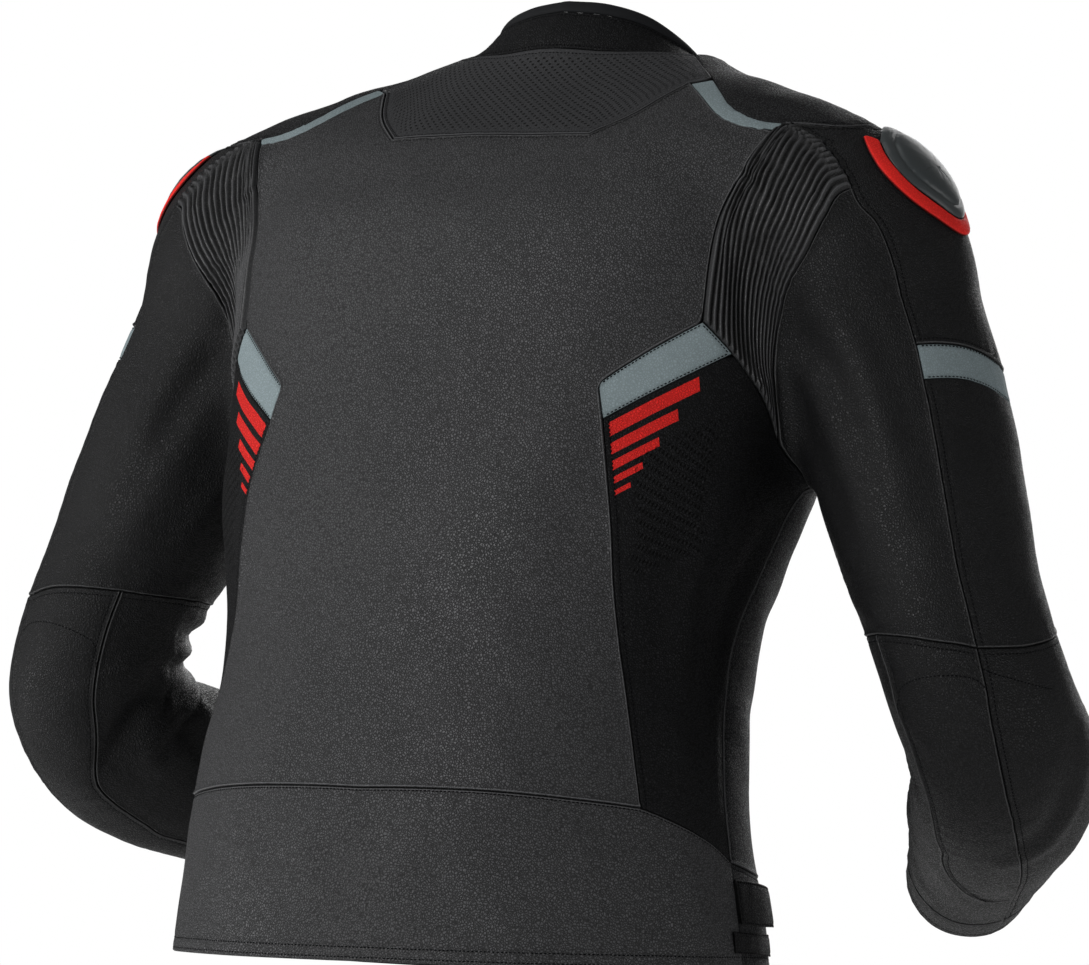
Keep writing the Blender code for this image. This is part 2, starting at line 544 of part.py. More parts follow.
# waistband
hem_back = seam(HEM_BACK, 7)
hem_side = seam(HEM_SIDE, 10)
hem_front = seam(HEM_FRONT, 10)
band_middle = seam([WAIST_BACK[0], HEM_BACK[0]], 3)
band_end = seam([WAIST_SIDE[-1], HEM_SIDE[-1]], 3)
band_edge = seam([WAIST_FRONT[-1], HEM_FRONT[-1]], 3)
band = patch(join(waist_back, waist_side), join(hem_back, hem_side), band_middle, band_end)
black(wall("waistband_back", both_halves(pull_in(band, ("top", "right")))))
front_band = patch(waist_front, hem_front, band_end, band_edge)
pair("waistband_front", pull_in(front_band, ("top", "left")), black)


# collar: a stand and a soft rim
def square_out(net):
    """Outward directions of a net from its own shape."""
    across = np.gradient(net, axis=1)
    down = np.gradient(net, axis=0)
    out = np.cross(across, down)
    return out / np.linalg.norm(out, axis=2)[:, :, None]


neck = join(neck_back, neck_front)
rim = along(smooth_rows(COLLAR_RIM, 200), len(neck) - 1)
heights = np.array([0.0, 0.2, 0.4, 0.6, COLLAR_TRIM_FROM, 0.90, 1.0])
stand = neck[None, :, :3] * (1 - heights)[:, None, None] + rim[None] * heights[:, None, None]
away = stand - np.array([0.0, 0.0, -0.02])
away[:, :, 2] = 0.0
away /= np.linalg.norm(away, axis=2)[:, :, None]
stand += away * (0.0030 * np.sin(np.pi * heights))[:, None, None]
stand_out = square_out(both_halves(np.concatenate([stand, stand], axis=2))[:, :, :3])
stand_out = stand_out[:, len(neck) - 1:]
stand_out *= np.sign((stand_out * away).sum(axis=2))[:, :, None]
stand_out[0] = neck[:, 3:]
collar = np.concatenate([stand, stand_out], axis=2)
black(wall("collar", both_halves(pull_in(collar[:5], ("top", "bottom")))))
trim = wall("collar_trim", both_halves(pull_in(collar[4:], ("top",))), lift=0.0004, thick=0.0030)
paint(trim, "collar_trim_soft_rubber", (0.012, 0.013, 0.015), 0.75)

# ---- sleeves ---------------------------------------------------------------
long_line = settle(smooth_rows(LONG_UPPER, 500))
long_run = np.concatenate([[0], np.cumsum(np.linalg.norm(np.diff(long_line, axis=0), axis=1))])
front_line = settle(np.vstack([settle(np.array([ARMHOLE_TOP[-1]])), arm_spots(LONG_FRONT, 300)]))
front_line = settle(smooth_rows(along(front_line, 40), 400))
front_run = np.concatenate([[0], np.cumsum(np.linalg.norm(np.diff(front_line, axis=0), axis=1))])


def nearest_run(line, run, spot):
    return run[np.argmin(((line - spot)**2).sum(axis=1))]


def cut(line, run, start, end, count):
    """Part of a long line between two lengths, in equal pieces."""
    at = np.linspace(start, end, count + 1)
    points = settle(np.column_stack([np.interp(at, run, line[:, k]) for k in range(3)]))
    return np.hstack([points, outward(points)])


def cross_seam(rows, pull, start, end, count):
    """A seam round the sleeve, fitted to its two end points."""
    rows = [(s - pull, w) for s, w in rows]
    line = settle(along(settle(arm_spots(rows)), count))
    f = np.linspace(0, 1, count + 1)[:, None]
    line = settle(line + (1 - f) * (start - line[0]) + f * (end - line[-1]))
    line[0], line[-1] = start, end
    return np.hstack([line, outward(line)])


def sleeve(side, pull, mirror):
    back_at = [nearest_run(long_line, long_run, arm_spots([rows[0], rows[0]], 2)[0]) for rows in
               ([(s - pull, w) for s, w in BAND_TOP], [(s - pull, w) for s, w in ELBOW_OUTER],
                [(s - pull / 2, w) for s, w in POCKET_END[::-1]])]
    top_b, elbow_b, pocket_b = back_at
    front_at = [nearest_run(front_line, front_run, arm_spots([rows[-1], rows[-1]], 2)[0]) for rows in
                ([(s - pull, w) for s, w in BAND_TOP], [(s - pull, w) for s, w in ELBOW_OUTER])]
    top_f, elbow_f = front_at
    end_b, end_f = long_run[-1], front_run[-1]
    low_b, low_f = top_b + BAND_WIDTH, top_f + BAND_WIDTH
    back_a = cut(long_line, long_run, 0.0, top_b, 5)
    back_b = cut(long_line, long_run, top_b, low_b, 2)
    back_c = cut(long_line, long_run, low_b, elbow_b, 6)
    back_d = cut(long_line, long_run, elbow_b, pocket_b, 8)
    back_e = cut(long_line, long_run, pocket_b, end_b, 3)
    front_a = cut(front_line, front_run, 0.0, top_f, 5)
    front_b = cut(front_line, front_run, top_f, low_f, 2)
    front_c = cut(front_line, front_run, low_f, elbow_f, 6)
    band_top = cross_seam(BAND_TOP, pull, back_a[-1, :3], front_a[-1, :3], 7)
    low_rows = [(s + BAND_WIDTH, w) for s, w in BAND_TOP]
    band_low = cross_seam(low_rows, pull, back_b[-1, :3], front_b[-1, :3], 7)
    elbow_out = cross_seam(ELBOW_OUTER, pull, back_c[-1, :3], front_c[-1, :3], 7)
    inner_at = [(s - pull, w) for s, w in (ELBOW_BACK[-1], ELBOW_BACK[-1])]
    inner = settle(arm_spots(inner_at, 2))[0]
    elbow_back = cross_seam(ELBOW_BACK, pull, back_c[-1, :3], inner, 5)
    elbow_in = cross_seam(ELBOW_INNER, pull, inner, front_c[-1, :3], 10)
    turn_at = [(s - pull / 2, w) for s, w in (POCKET[-1], POCKET[-1])]
    turn = settle(arm_spots(turn_at, 2))[0]
    pocket = cross_seam(POCKET, pull * 0.75, inner, turn, 8)
    pocket_end = cross_seam(POCKET_END, pull / 2, turn, back_d[-1, :3], 5)
    cuff_out = cross_seam(CUFF_SEAM_OUTER, 0.0, back_e[-1, :3], front_line[-1], 7)
    cuff_in = cross_seam(CUFF_SEAM_INNER, 0.0, back_e[-1, :3], front_line[-1], 10)
    front_d = cut(front_line, front_run, elbow_f, end_f, 11)
    front_e = part_way(front_d, 16)

    def piece(name, net, colour, back=SEAM_GAP / 2):
        colour(wall(name + "_" + side, pull_in(net, ALL_SIDES, back), mirror=mirror))

    head = patch(armhole_top, band_top, join(ribs_top, back_a), refine(front_a, 2))
    piece("sleeve_head", head, black)
    piece("sleeve_band", patch(band_top, band_low, back_b, front_b), grey)
    piece("sleeve_outer", patch(band_low, elbow_out, back_c, front_c), black)
    under_top = join(ribs_outer, flip(armhole_under), flip(armhole_low))
    under = patch(under_top, join(elbow_back, elbow_in), join(back_a, back_b, back_c),
                  join(front_a, front_b, front_c))
    piece("sleeve_under", under, black, TIGHT_BACK)
    elbow = patch(elbow_back, flip(pocket_end), back_d, pocket)
    piece("elbow_panel", elbow, black, 0.0004)
    outer = patch(elbow_out, cuff_out, join(back_d, back_e), front_d)
    piece("forearm_outer", outer, black)
    low = patch(elbow_in, cuff_in, join(pocket, pocket_end, back_e), front_e)
    piece("forearm_under", low, black)
    ring = join(cuff_out, flip(cuff_in))[:-1]
    spots = []
    for part in np.linspace(0, 1, 4):
        shift = (SLEEVE_END - SLEEVE_CUFF_SEAM) * part
        way = np.array([np.interp(SLEEVE_CUFF_SEAM, ARM_LENGTH, ARM_WAY[:, k]) for k in range(3)])
        points = settle(ring[:, :3] + way * shift)
        spots.append(np.hstack([points, outward(points)]))
    cuff = np.array(spots)
    start = cuff[0].copy()
    start[:, :3] += way * SEAM_GAP * 1.2
    cuff[0] = start
    black(wall("cuff_" + side, cuff, ring=True, mirror=mirror))


sleeve("right", 0.0, True)
sleeve("left", LEFT_SLEEVE_PULL, False)

# ---- shoulder cups on the sleeve heads -------------------------------------
border_out = settle(along(settle(smooth_rows(CUP_BORDER, 200)), 22))
for _ in range(6):
    border_out[1:-1] = settle(0.5 * border_out[1:-1] + 0.25 * (border_out[:-2] + border_out[2:]))
middle = settle(np.array([CUP_MIDDLE]))[0]
inwards = middle - border_out
inwards /= np.linalg.norm(inwards, axis=1)[:, None]
border_in = settle(border_out + inwards * CUP_BORDER_WIDTH)
border = np.array([border_out, (border_out + border_in) / 2, border_in])
border = settle(border.reshape(-1, 3)).reshape(border.shape)
border = np.concatenate([border, outward(border.reshape(-1, 3)).reshape(border.shape)], axis=2)
pair("cup_border", border, red, lift=LIFT + 0.0016, thick=0.0016)

cup_side = settle(border_out + inwards * (CUP_BORDER_WIDTH + SEAM_GAP))
cup_head = settle(smooth_rows([cup_side[-1], CUP_TOP, cup_side[0]], 60))
cup_head = settle(along(cup_head, 7))[1:-1]
cup_edge = np.vstack([cup_side, cup_head])


def dome(name, edge, centre, mirror):
    """A low solid dome over a closed line."""
    parts = [1.0, 0.90, 0.55]
    rise = [0.0, 0.55, 1.0]
    rings = [settle(centre + (edge - centre) * part) for part in parts]
    outs = [outward(ring) for ring in rings]
    tip = settle(centre[None])
    tip_out = outward(tip)
    count = len(edge)
    high = [r + o * (CUP_LIFT + CUP_WALL + CUP_RISE * h) for r, o, h in zip(rings, outs, rise)]
    low = [r + o * CUP_LIFT for r, o in zip(rings, outs)]
    verts = np.vstack(high + [tip + tip_out * (CUP_LIFT + CUP_WALL + CUP_RISE * 1.03)]
                      + low + [tip + tip_out * CUP_LIFT])
    if mirror:
        verts = verts * np.array([-1, 1, 1])
    faces = []
    depth = len(parts)
    under = depth * count + 1
    for i in range(depth - 1):
        for j in range(count):
            k = (j + 1) % count
            a, b = i * count, (i + 1) * count
            faces.append((a + j, a + k, b + k, b + j))
            faces.append((under + a + j, under + b + j, under + b + k, under + a + k))
    inner = (depth - 1) * count
    for j in range(count):
        k = (j + 1) % count
        faces.append((inner + j, inner + k, depth * count))
        faces.append((under + inner + k, under + inner + j, under + depth * count))
        faces.append((j, under + j, under + k, k))
    return add_mesh(name, verts, faces)


for side, mirror in (("right", True), ("left", False)):
    cup = dome("shoulder_cup_" + side, cup_edge, middle, mirror)
    paint(cup, cup.name + "_plastic", (0.050, 0.058, 0.060), 0.45)


# ---- hip adjusters on the waistband ----------------------------------------
def lying_plate(top, low, rows, cols):
    top = settle(along(smooth_rows(top, 40), cols))
    low = settle(along(smooth_rows(low, 40), cols))
    v = np.linspace(0, 1, rows + 1)[:, None, None]
    net = settle((top[None] * (1 - v) + low[None] * v).reshape(-1, 3))
    return np.hstack([net, outward(net)]).reshape(rows + 1, cols + 1, 6)


tab = lying_plate(HIP_TAB_TOP, HIP_TAB_LOW, 3, 8)
tab_rise = np.tile(np.linspace(0.0, 0.0030, 9), (4, 1))
pair("hip_tab", tab, black, lift=LIFT + 0.0026, thick=0.0026, raised=tab_rise)
strap = lying_plate(HIP_STRAP_TOP, HIP_STRAP_LOW, 2, 8)
pair("hip_strap", strap, black, lift=LIFT + 0.0016, thick=0.0016)

# ---- front zip -------------------------------------------------------------
collar_edge = collar[::-1, -1]
path = np.vstack([collar_edge[:-1], front_middle, band_edge[1:]])
run_down = np.gradient(path[:, :3], axis=0)
run_down /= np.linalg.norm(run_down, axis=1)[:, None]
sideways = np.cross(run_down, path[:, 3:])
sideways *= np.sign(sideways[:, :1])
sideways /= np.linalg.norm(sideways, axis=1)[:, None]
bend = np.where(path[:, 2] > -0.076, 0.040, 0.150)[:, None]
tape = []
for x in (0.0008, 0.0060, 0.0060 + TAPE_WIDTH / 2):
    d = x - FRONT_EDGE
    points = path[:, :3] + sideways * d - path[:, 3:] * (d * d / (2 * bend) + 0.0005)
    tape.append(np.hstack([points, path[:, 3:]]))
tape = np.array(tape).transpose(1, 0, 2)
for side, mirror in (("right", True), ("left", False)):
    band = wall("zip_tape_" + side, tape, lift=-LEATHER, thick=TAPE_WALL, mirror=mirror)
    paint(band, band.name + "_fabric", (0.015, 0.015, 0.017), 0.85)

# the slider at the top of the zip, with a bridge that holds the pull tab
SLIDER_AT = -0.0620
SLIDER_SIZE = (0.0090, 0.0035, 0.0120)
BRIDGE_SIZE = (0.0022, 0.0056, 0.0088)
PIN_HOLE = 0.0013
PIN_THICK = 0.0013
TAB_SIZE = (0.0072, 0.0013, 0.0270)
TAB_WINDOW = (0.0034, 0.0064)
top_row = int(np.argmin(np.abs(path[:, 2] - SLIDER_AT)))
front_y = float(np.interp(SLIDER_AT, path[::-1, 2], path[::-1, 1]))
lean = math.atan2(path[top_row + 1, 1] - path[top_row - 1, 1], path[top_row - 1, 2] - path[top_row + 1, 2])


def block(name, size, centre, bevel=0.0, collection=jacket):
    """A box, its edges rounded where a bevel is given."""
    bm = bmesh.new()
    bmesh.ops.create_cube(bm, size=1.0)
    bmesh.ops.scale(bm, vec=size, verts=bm.verts)
    bmesh.ops.translate(bm, vec=centre, verts=bm.verts)
    if bevel:
        bmesh.ops.bevel(bm, geom=bm.edges[:], offset=bevel, segments=2, affect="EDGES", profile=0.5)
    mesh = bpy.data.meshes.new(name)
    bm.to_mesh(mesh)
    bm.free()
    obj = bpy.data.objects.new(name, mesh)
    collection.objects.link(obj)
    return obj


def combine(obj, other, operation):
    mod = obj.modifiers.new(operation.lower(), "BOOLEAN")
    mod.operation = operation
    mod.solver = "EXACT"
    mod.object = other
    other.hide_render = True


slider = block("zip_slider", SLIDER_SIZE, (0, 0, 0), 0.0009)
bridge_y = -(SLIDER_SIZE[1] + BRIDGE_SIZE[1]) / 2 + 0.0008
bridge = block("slider_bridge", BRIDGE_SIZE, (0, bridge_y, 0), 0.0005, cutters)
bm = bmesh.new()
bmesh.ops.create_cone(bm, cap_ends=True, segments=20, radius1=PIN_HOLE, radius2=PIN_HOLE, depth=0.02)
hole = bpy.data.objects.new("pin_hole", bpy.data.meshes.new("pin_hole"))
bm.to_mesh(hole.data)
bm.free()
cutters.objects.link(hole)
pin_y = -SLIDER_SIZE[1] / 2 - PIN_HOLE - 0.0004
hole.rotation_euler = (0, math.pi / 2, 0)
hole.location = (0, pin_y, 0)
tab_z = PIN_THICK / 2 - TAB_SIZE[2] / 2
pull = block("pull_tab", TAB_SIZE, (0, pin_y, tab_z), 0.0003)
window_z = -PIN_THICK / 2 - TAB_WINDOW[1] / 2
window = block("tab_window", (TAB_WINDOW[0], 0.01, TAB_WINDOW[1]), (0, pin_y, window_z), 0, cutters)
combine(slider, bridge, "UNION")
combine(slider, hole, "DIFFERENCE")
combine(pull, window, "DIFFERENCE")
place_y = front_y + LEATHER + 0.0005 - 0.0008 - SLIDER_SIZE[1] / 2
for obj in (slider, bridge, hole, pull, window):
    here = obj.matrix_basis.copy()
    turn = Matrix.Translation((0, place_y, SLIDER_AT)) @ Matrix.Rotation(lean, 4, "X")
    obj.matrix_basis = turn @ here
paint(slider, "zip_slider_metal", (0.25, 0.25, 0.26), 0.35, 1.0)
paint(pull, "pull_tab_metal", (0.25, 0.25, 0.26), 0.35, 1.0)
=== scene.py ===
"""Leather motorcycle jacket, seen from behind, filled out with no wearer inside.

Metres.  +Z is up, the fronts face -Y, the wearer's right is -X.
Every leather piece is a thin sheet between its seams, with its own folds, sewing and finish.
Tables give points of the wearer's left half as out, back, up.
"""
import math

import bmesh
import bpy
import numpy as np
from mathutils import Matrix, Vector


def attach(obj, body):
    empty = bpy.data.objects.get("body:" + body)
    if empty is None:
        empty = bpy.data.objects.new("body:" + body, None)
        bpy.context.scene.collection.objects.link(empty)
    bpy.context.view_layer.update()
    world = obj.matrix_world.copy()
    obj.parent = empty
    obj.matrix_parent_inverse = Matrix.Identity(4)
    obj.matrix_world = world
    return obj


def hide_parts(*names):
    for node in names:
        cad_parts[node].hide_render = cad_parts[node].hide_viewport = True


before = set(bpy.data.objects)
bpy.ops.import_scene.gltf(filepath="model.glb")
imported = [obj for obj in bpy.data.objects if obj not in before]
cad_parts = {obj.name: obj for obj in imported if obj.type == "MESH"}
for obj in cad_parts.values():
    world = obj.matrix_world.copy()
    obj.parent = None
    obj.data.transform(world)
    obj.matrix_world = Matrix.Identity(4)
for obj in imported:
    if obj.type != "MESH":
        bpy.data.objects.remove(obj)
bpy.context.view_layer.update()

# ---- The studio ------------------------------------------------------------
# A pale room with a pale floor.  Soft lights stand to the left of the camera, so
# that the back is lit and the right sleeve falls away to black.
CAMERA_PLACE = (-2.2666, 4.0030, -0.3000)
CAMERA_WAY = (0.500, -0.866, 0.0)
CAMERA_LENS = 222.8
FLOOR_LEVEL = -1.05
FLOOR_REACH = 3.2
FLOOR_WHITE = (0.86, 0.86, 0.86, 1.0)
MIDDLE = (0.0, 0.08, -0.30)
ROOM_GLOW = 0.130         # light that the room itself gives, next to its white look
LIGHT_DISTANCE = 2.7
# name, degrees round from the camera to its right, degrees up, size, watts
LIGHTS = [
    ("side_light", -95, -15, 1.0, 36.0),
    ("side_high_light", -95, 34, 1.4, 16.0),
    ("key_light", -45, 18, 1.0, 32.0),
    ("key_high_light", -45, 50, 1.0, 6.0),
    ("low_light", 5, -15, 1.0, 5.0),
    ("right_light", 62, -6, 1.6, 17.0),
    ("top_light", 0, 88, 1.0, 4.0),
    ("front_light", 165, 12, 1.8, 34.0),
]

scene = bpy.context.scene
scene.view_settings.view_transform = "Standard"
camera = bpy.data.objects.new("camera", bpy.data.cameras.new("camera"))
scene.collection.objects.link(camera)
camera.location = CAMERA_PLACE
camera.rotation_euler = Vector(CAMERA_WAY).to_track_quat("-Z", "Y").to_euler()
camera.data.lens = CAMERA_LENS
camera.data.clip_end = 60.0
scene.camera = camera

towards = -Vector(CAMERA_WAY).normalized()
right = Vector(CAMERA_WAY).cross(Vector((0, 0, 1))).normalized()
for name, turn, tilt, size, watts in LIGHTS:
    lamp = bpy.data.lights.new(name, "AREA")
    lamp.size = size
    lamp.energy = watts
    light = bpy.data.objects.new(name, lamp)
    turn, tilt = math.radians(turn), math.radians(tilt)
    level = (right * math.sin(turn) + towards * math.cos(turn)) * math.cos(tilt)
    light.location = Vector(MIDDLE) + (level + Vector((0, 0, math.sin(tilt)))) * LIGHT_DISTANCE
    light.rotation_euler = (Vector(MIDDLE) - light.location).to_track_quat("-Z", "Y").to_euler()
    scene.collection.objects.link(light)


def node(tree, kind, inputs=None, **settings):
    """One shader node; each input is a value or another node's socket."""
    made = tree.nodes.new("ShaderNode" + kind)
    for key, value in settings.items():
        setattr(made, key, value)
    for key, value in (inputs or {}).items():
        if isinstance(value, bpy.types.NodeSocket):
            tree.links.new(value, made.inputs[key])
        else:
            made.inputs[key].default_value = value
    return made


def fresh_material(name):
    """A material with an empty node tree and its output."""
    made = bpy.data.materials.new(name)
    made.use_nodes = True
    made.node_tree.nodes.clear()
    return made, made.node_tree


def finish_with(made, inputs):
    """Give a material its one shader."""
    skin = node(made.node_tree, "BsdfPrincipled", inputs)
    made.node_tree.links.new(skin.outputs[0], node(made.node_tree, "OutputMaterial").inputs[0])
    return made


room = bpy.data.worlds.new("pale_room")
room.use_nodes = True
room.node_tree.nodes.clear()
seen = node(room.node_tree, "LightPath").outputs["Is Camera Ray"]
glow = node(room.node_tree, "MapRange", {0: seen, 3: ROOM_GLOW, 4: 1.0}).outputs[0]
air = node(room.node_tree, "Background", {"Color": (1.0, 1.0, 1.0, 1.0), "Strength": glow})
room.node_tree.links.new(air.outputs[0], node(room.node_tree, "OutputWorld").inputs[0])
scene.world = room

plate = bmesh.new()
bmesh.ops.create_circle(plate, cap_ends=True, segments=64, radius=FLOOR_REACH)
floor = bpy.data.objects.new("floor", bpy.data.meshes.new("floor"))
plate.to_mesh(floor.data)
plate.free()
floor.location = (MIDDLE[0], MIDDLE[1], FLOOR_LEVEL)
scene.collection.objects.link(floor)
chalk = fresh_material("pale_floor")[0]
floor.data.materials.append(finish_with(chalk, {"Base Color": FLOOR_WHITE, "Roughness": 0.9}))

# ---- Back yoke -------------------------------------------------------------
# The piece over the upper back is cowhide with small holes punched in slanting
# rows and a plain border.  It is laid on the back panel and sewn twice at its foot.

# the jacket's hollow form: level, middle back, half width, back depth, front depth, roundness
BODY_RINGS = np.array([
    (-0.680, 0.178, 0.207, 0.146, 0.138, 2.30),
    (-0.600, 0.176, 0.204, 0.146, 0.138, 2.30),
    (-0.500, 0.172, 0.188, 0.143, 0.134, 2.30),
    (-0.400, 0.141, 0.183, 0.141, 0.131, 2.35),
    (-0.300, 0.108, 0.205, 0.148, 0.142, 2.40),
    (-0.200, 0.078, 0.214, 0.144, 0.146, 2.45),
    (-0.130, 0.068, 0.218, 0.132, 0.134, 2.40),
    (-0.095, 0.068, 0.224, 0.108, 0.129, 2.20),
    (-0.071, 0.066, 0.220, 0.088, 0.123, 2.10),
    (-0.051, 0.062, 0.190, 0.064, 0.115, 2.00),
    (-0.028, 0.044, 0.131, 0.048, 0.098, 2.00),
    (-0.011, 0.018, 0.092, 0.056, 0.078, 2.00),
    (0.005, 0.000, 0.070, 0.066, 0.066, 2.00),
    (0.035, -0.012, 0.062, 0.062, 0.062, 2.00),
])
# the sleeve's middle line: out, back, up, side radius, fore and aft radius
ARM_LINE = np.array([
    (0.140, 0.062, -0.093, 0.0580, 0.0660),
    (0.226, 0.070, -0.134, 0.0675, 0.0740),
    (0.251, 0.070, -0.200, 0.0680, 0.0720),
    (0.275, 0.081, -0.262, 0.0680, 0.0710),
    (0.299, 0.096, -0.325, 0.0645, 0.0680),
    (0.318, 0.107, -0.370, 0.0590, 0.0640),
    (0.332, 0.111, -0.405, 0.0575, 0.0640),
    (0.342, 0.106, -0.440, 0.0575, 0.0640),
    (0.344, 0.082, -0.474, 0.0575, 0.0640),
    (0.329, 0.045, -0.498, 0.0570, 0.0630),
    (0.301, 0.003, -0.516, 0.0550, 0.0580),
    (0.271, -0.044, -0.536, 0.0500, 0.0510),
    (0.240, -0.091, -0.554, 0.0450, 0.0460),
    (0.221, -0.121, -0.566, 0.0425, 0.0435),
    (0.202, -0.151, -0.578, 0.0420, 0.0430),
])
BLEND = 0.030
LEATHER = 0.0022
FINE = 6                  # fine steps on each straight piece of a seam
EVEN_ROUNDS = 60


def smooth_rows(rows, steps):
    """Smooth curve through the rows of a table."""
    rows = np.asarray(rows, float)
    last = len(rows) - 1
    t = np.linspace(0.0, last, steps)
    i = np.minimum(t.astype(int), last - 1)
    f = (t - i)[:, None]
    a, b, c = rows[np.maximum(i - 1, 0)], rows[i], rows[i + 1]
    d = rows[np.minimum(i + 2, last)]
    return 0.5 * (2 * b + (c - a) * f + (2 * a - 5 * b + 4 * c - d) * f**2
                  + (3 * b - a - 3 * c + d) * f**3)


BODY_FINE = smooth_rows(BODY_RINGS, 420)
ARM_FINE = smooth_rows(ARM_LINE, 260)
ARM_MID = ARM_FINE[:, :3]
ARM_LENGTH = np.concatenate([[0.0], np.cumsum(np.linalg.norm(np.diff(ARM_MID, axis=0), axis=1))])
ARM_WAY = np.gradient(ARM_MID, axis=0)
ARM_WAY /= np.linalg.norm(ARM_WAY, axis=1)[:, None]
ARM_AFT = np.array([0.0, 1.0, 0.0]) - ARM_WAY * ARM_WAY[:, 1:2]
ARM_AFT /= np.linalg.norm(ARM_AFT, axis=1)[:, None]
ARM_OUT = np.cross(ARM_WAY, ARM_AFT)


def body_gap(p):
    """Signed distance to the body's ring at each point's level."""
    mid, half, back, front, power = [np.interp(p[:, 2], BODY_FINE[:, 0], BODY_FINE[:, k])
                                     for k in range(1, 6)]
    dy = p[:, 1] - mid
    depth = np.where(dy > 0, back, front)
    level = np.abs(p[:, 0] / half)**power + np.abs(dy / depth)**power
    return np.hypot(p[:, 0], dy) * (1 - 1 / np.maximum(level, 1e-9)**(1 / power))


def sleeve_gap(p):
    """Signed distance to the sleeve's tube."""
    q = np.column_stack([np.abs(p[:, 0]), p[:, 1], p[:, 2]])
    i = np.argmin(((q[:, None, :] - ARM_MID[None])**2).sum(axis=2), axis=1)
    v = q - ARM_MID[i]
    past = (v * ARM_WAY[i]).sum(axis=1)
    v = v - np.where((i == 0) & (past < 0), 0.0, past)[:, None] * ARM_WAY[i]
    rho = np.maximum(np.linalg.norm(v, axis=1), 1e-9)
    aft = (v * ARM_AFT[i]).sum(axis=1) / rho
    return rho - 1 / np.sqrt((aft / ARM_FINE[i, 4])**2 + (1 - aft**2) / ARM_FINE[i, 3]**2)


def form_gap(p):
    """Body and sleeves run together as one soft form."""
    a, b = body_gap(p), sleeve_gap(p)
    h = np.clip(0.5 + 0.5 * (b - a) / BLEND, 0.0, 1.0)
    return b * (1 - h) + a * h - BLEND * h * (1 - h)


def form_slope(p):
    """How fast the form's distance grows, each way."""
    step = 4e-4
    steps = np.eye(3) * step
    return np.column_stack([(form_gap(p + d) - form_gap(p - d)) / (2 * step) for d in steps])


def outward(p):
    """The direction square off the form."""
    slope = form_slope(p)
    return slope / np.linalg.norm(slope, axis=1)[:, None]


def settle(p, rounds=7):
    """Move points square onto the form."""
    p = np.array(p, float)
    for _ in range(rounds):
        slope = form_slope(p)
        size = np.maximum((slope * slope).sum(axis=1), 0.25)
        move = (form_gap(p) / size)[:, None] * slope
        far = np.linalg.norm(move, axis=1)
        p -= move * np.minimum(1.0, 0.02 / np.maximum(far, 1e-9))[:, None]
    return p


def along(points, count):
    """The same line cut into equal lengths."""
    points = np.asarray(points, float)
    run = np.concatenate([[0], np.cumsum(np.linalg.norm(np.diff(points[:, :3], axis=0), axis=1))])
    at = np.linspace(0, run[-1], count + 1)
    return np.column_stack([np.interp(at, run, points[:, k]) for k in range(points.shape[1])])


def seam(rows, count):
    """A seam through the rows, on the form, with its outward directions, in count times FINE pieces."""
    line = settle(smooth_rows(rows, 24 * (len(rows) - 1) + 1))
    line = settle(along(line, count * FINE))
    return np.hstack([line, outward(line)])


def recount(edge, count):
    """The same seam in another number of pieces."""
    at = np.linspace(0, len(edge) - 1, count * FINE + 1)
    return np.column_stack([np.interp(at, np.arange(len(edge)), edge[:, k]) for k in range(6)])


def join(*edges):
    return np.vstack([edges[0]] + [e[1:] for e in edges[1:]])


def flip(edge):
    return edge[::-1]


def unit(v):
    return v / np.maximum(np.linalg.norm(v, axis=-1, keepdims=True), 1e-12)


def curve_points(net, at):
    """Points of each row of a net at fractional places along the row, on a smooth curve."""
    first = 3 * net[:, :1] - 3 * net[:, 1:2] + net[:, 2:3]
    last = 3 * net[:, -1:] - 3 * net[:, -2:-1] + net[:, -3:-2]
    wide = np.concatenate([first, net, last], axis=1)
    i = np.clip(at.astype(int), 0, net.shape[1] - 2)
    f = (at - i)[..., None]
    rows = np.arange(len(net))[:, None]
    a, b, c, d = (wide[rows, i + k] for k in range(4))
    return 0.5 * (2 * b + (c - a) * f + (2 * a - 5 * b + 4 * c - d) * f**2
                  + (3 * b - a - 3 * c + d) * f**3)


def finer(net, times=FINE):
    """A net with each mesh cut into smaller ones, on smooth curves both ways."""
    for _ in range(2):
        steps = (net.shape[1] - 1) * times
        at = np.tile(np.linspace(0, net.shape[1] - 1, steps + 1), (len(net), 1))
        net = curve_points(net, at).transpose(1, 0, 2)
    return net


def between(top, bottom, left, right):
    """Each point of a net blended from its four edges."""
    u = np.linspace(0, 1, len(top))[None, :, None]
    v = np.linspace(0, 1, len(left))[:, None, None]
    net = (1 - v) * top[None] + v * bottom[None] + (1 - u) * left[:, None] + u * right[:, None]
    net -= (1 - u) * (1 - v) * top[:1] + u * (1 - v) * top[-1:]
    return net - (1 - u) * v * bottom[:1] - u * v * bottom[-1:]


def square_out(net, like):
    """Outward directions from a net's own shape, on the side of those given."""
    out = unit(np.cross(np.gradient(net, axis=1), np.gradient(net, axis=0)))
    return out * np.where((out * like).sum() < 0, -1.0, 1.0)


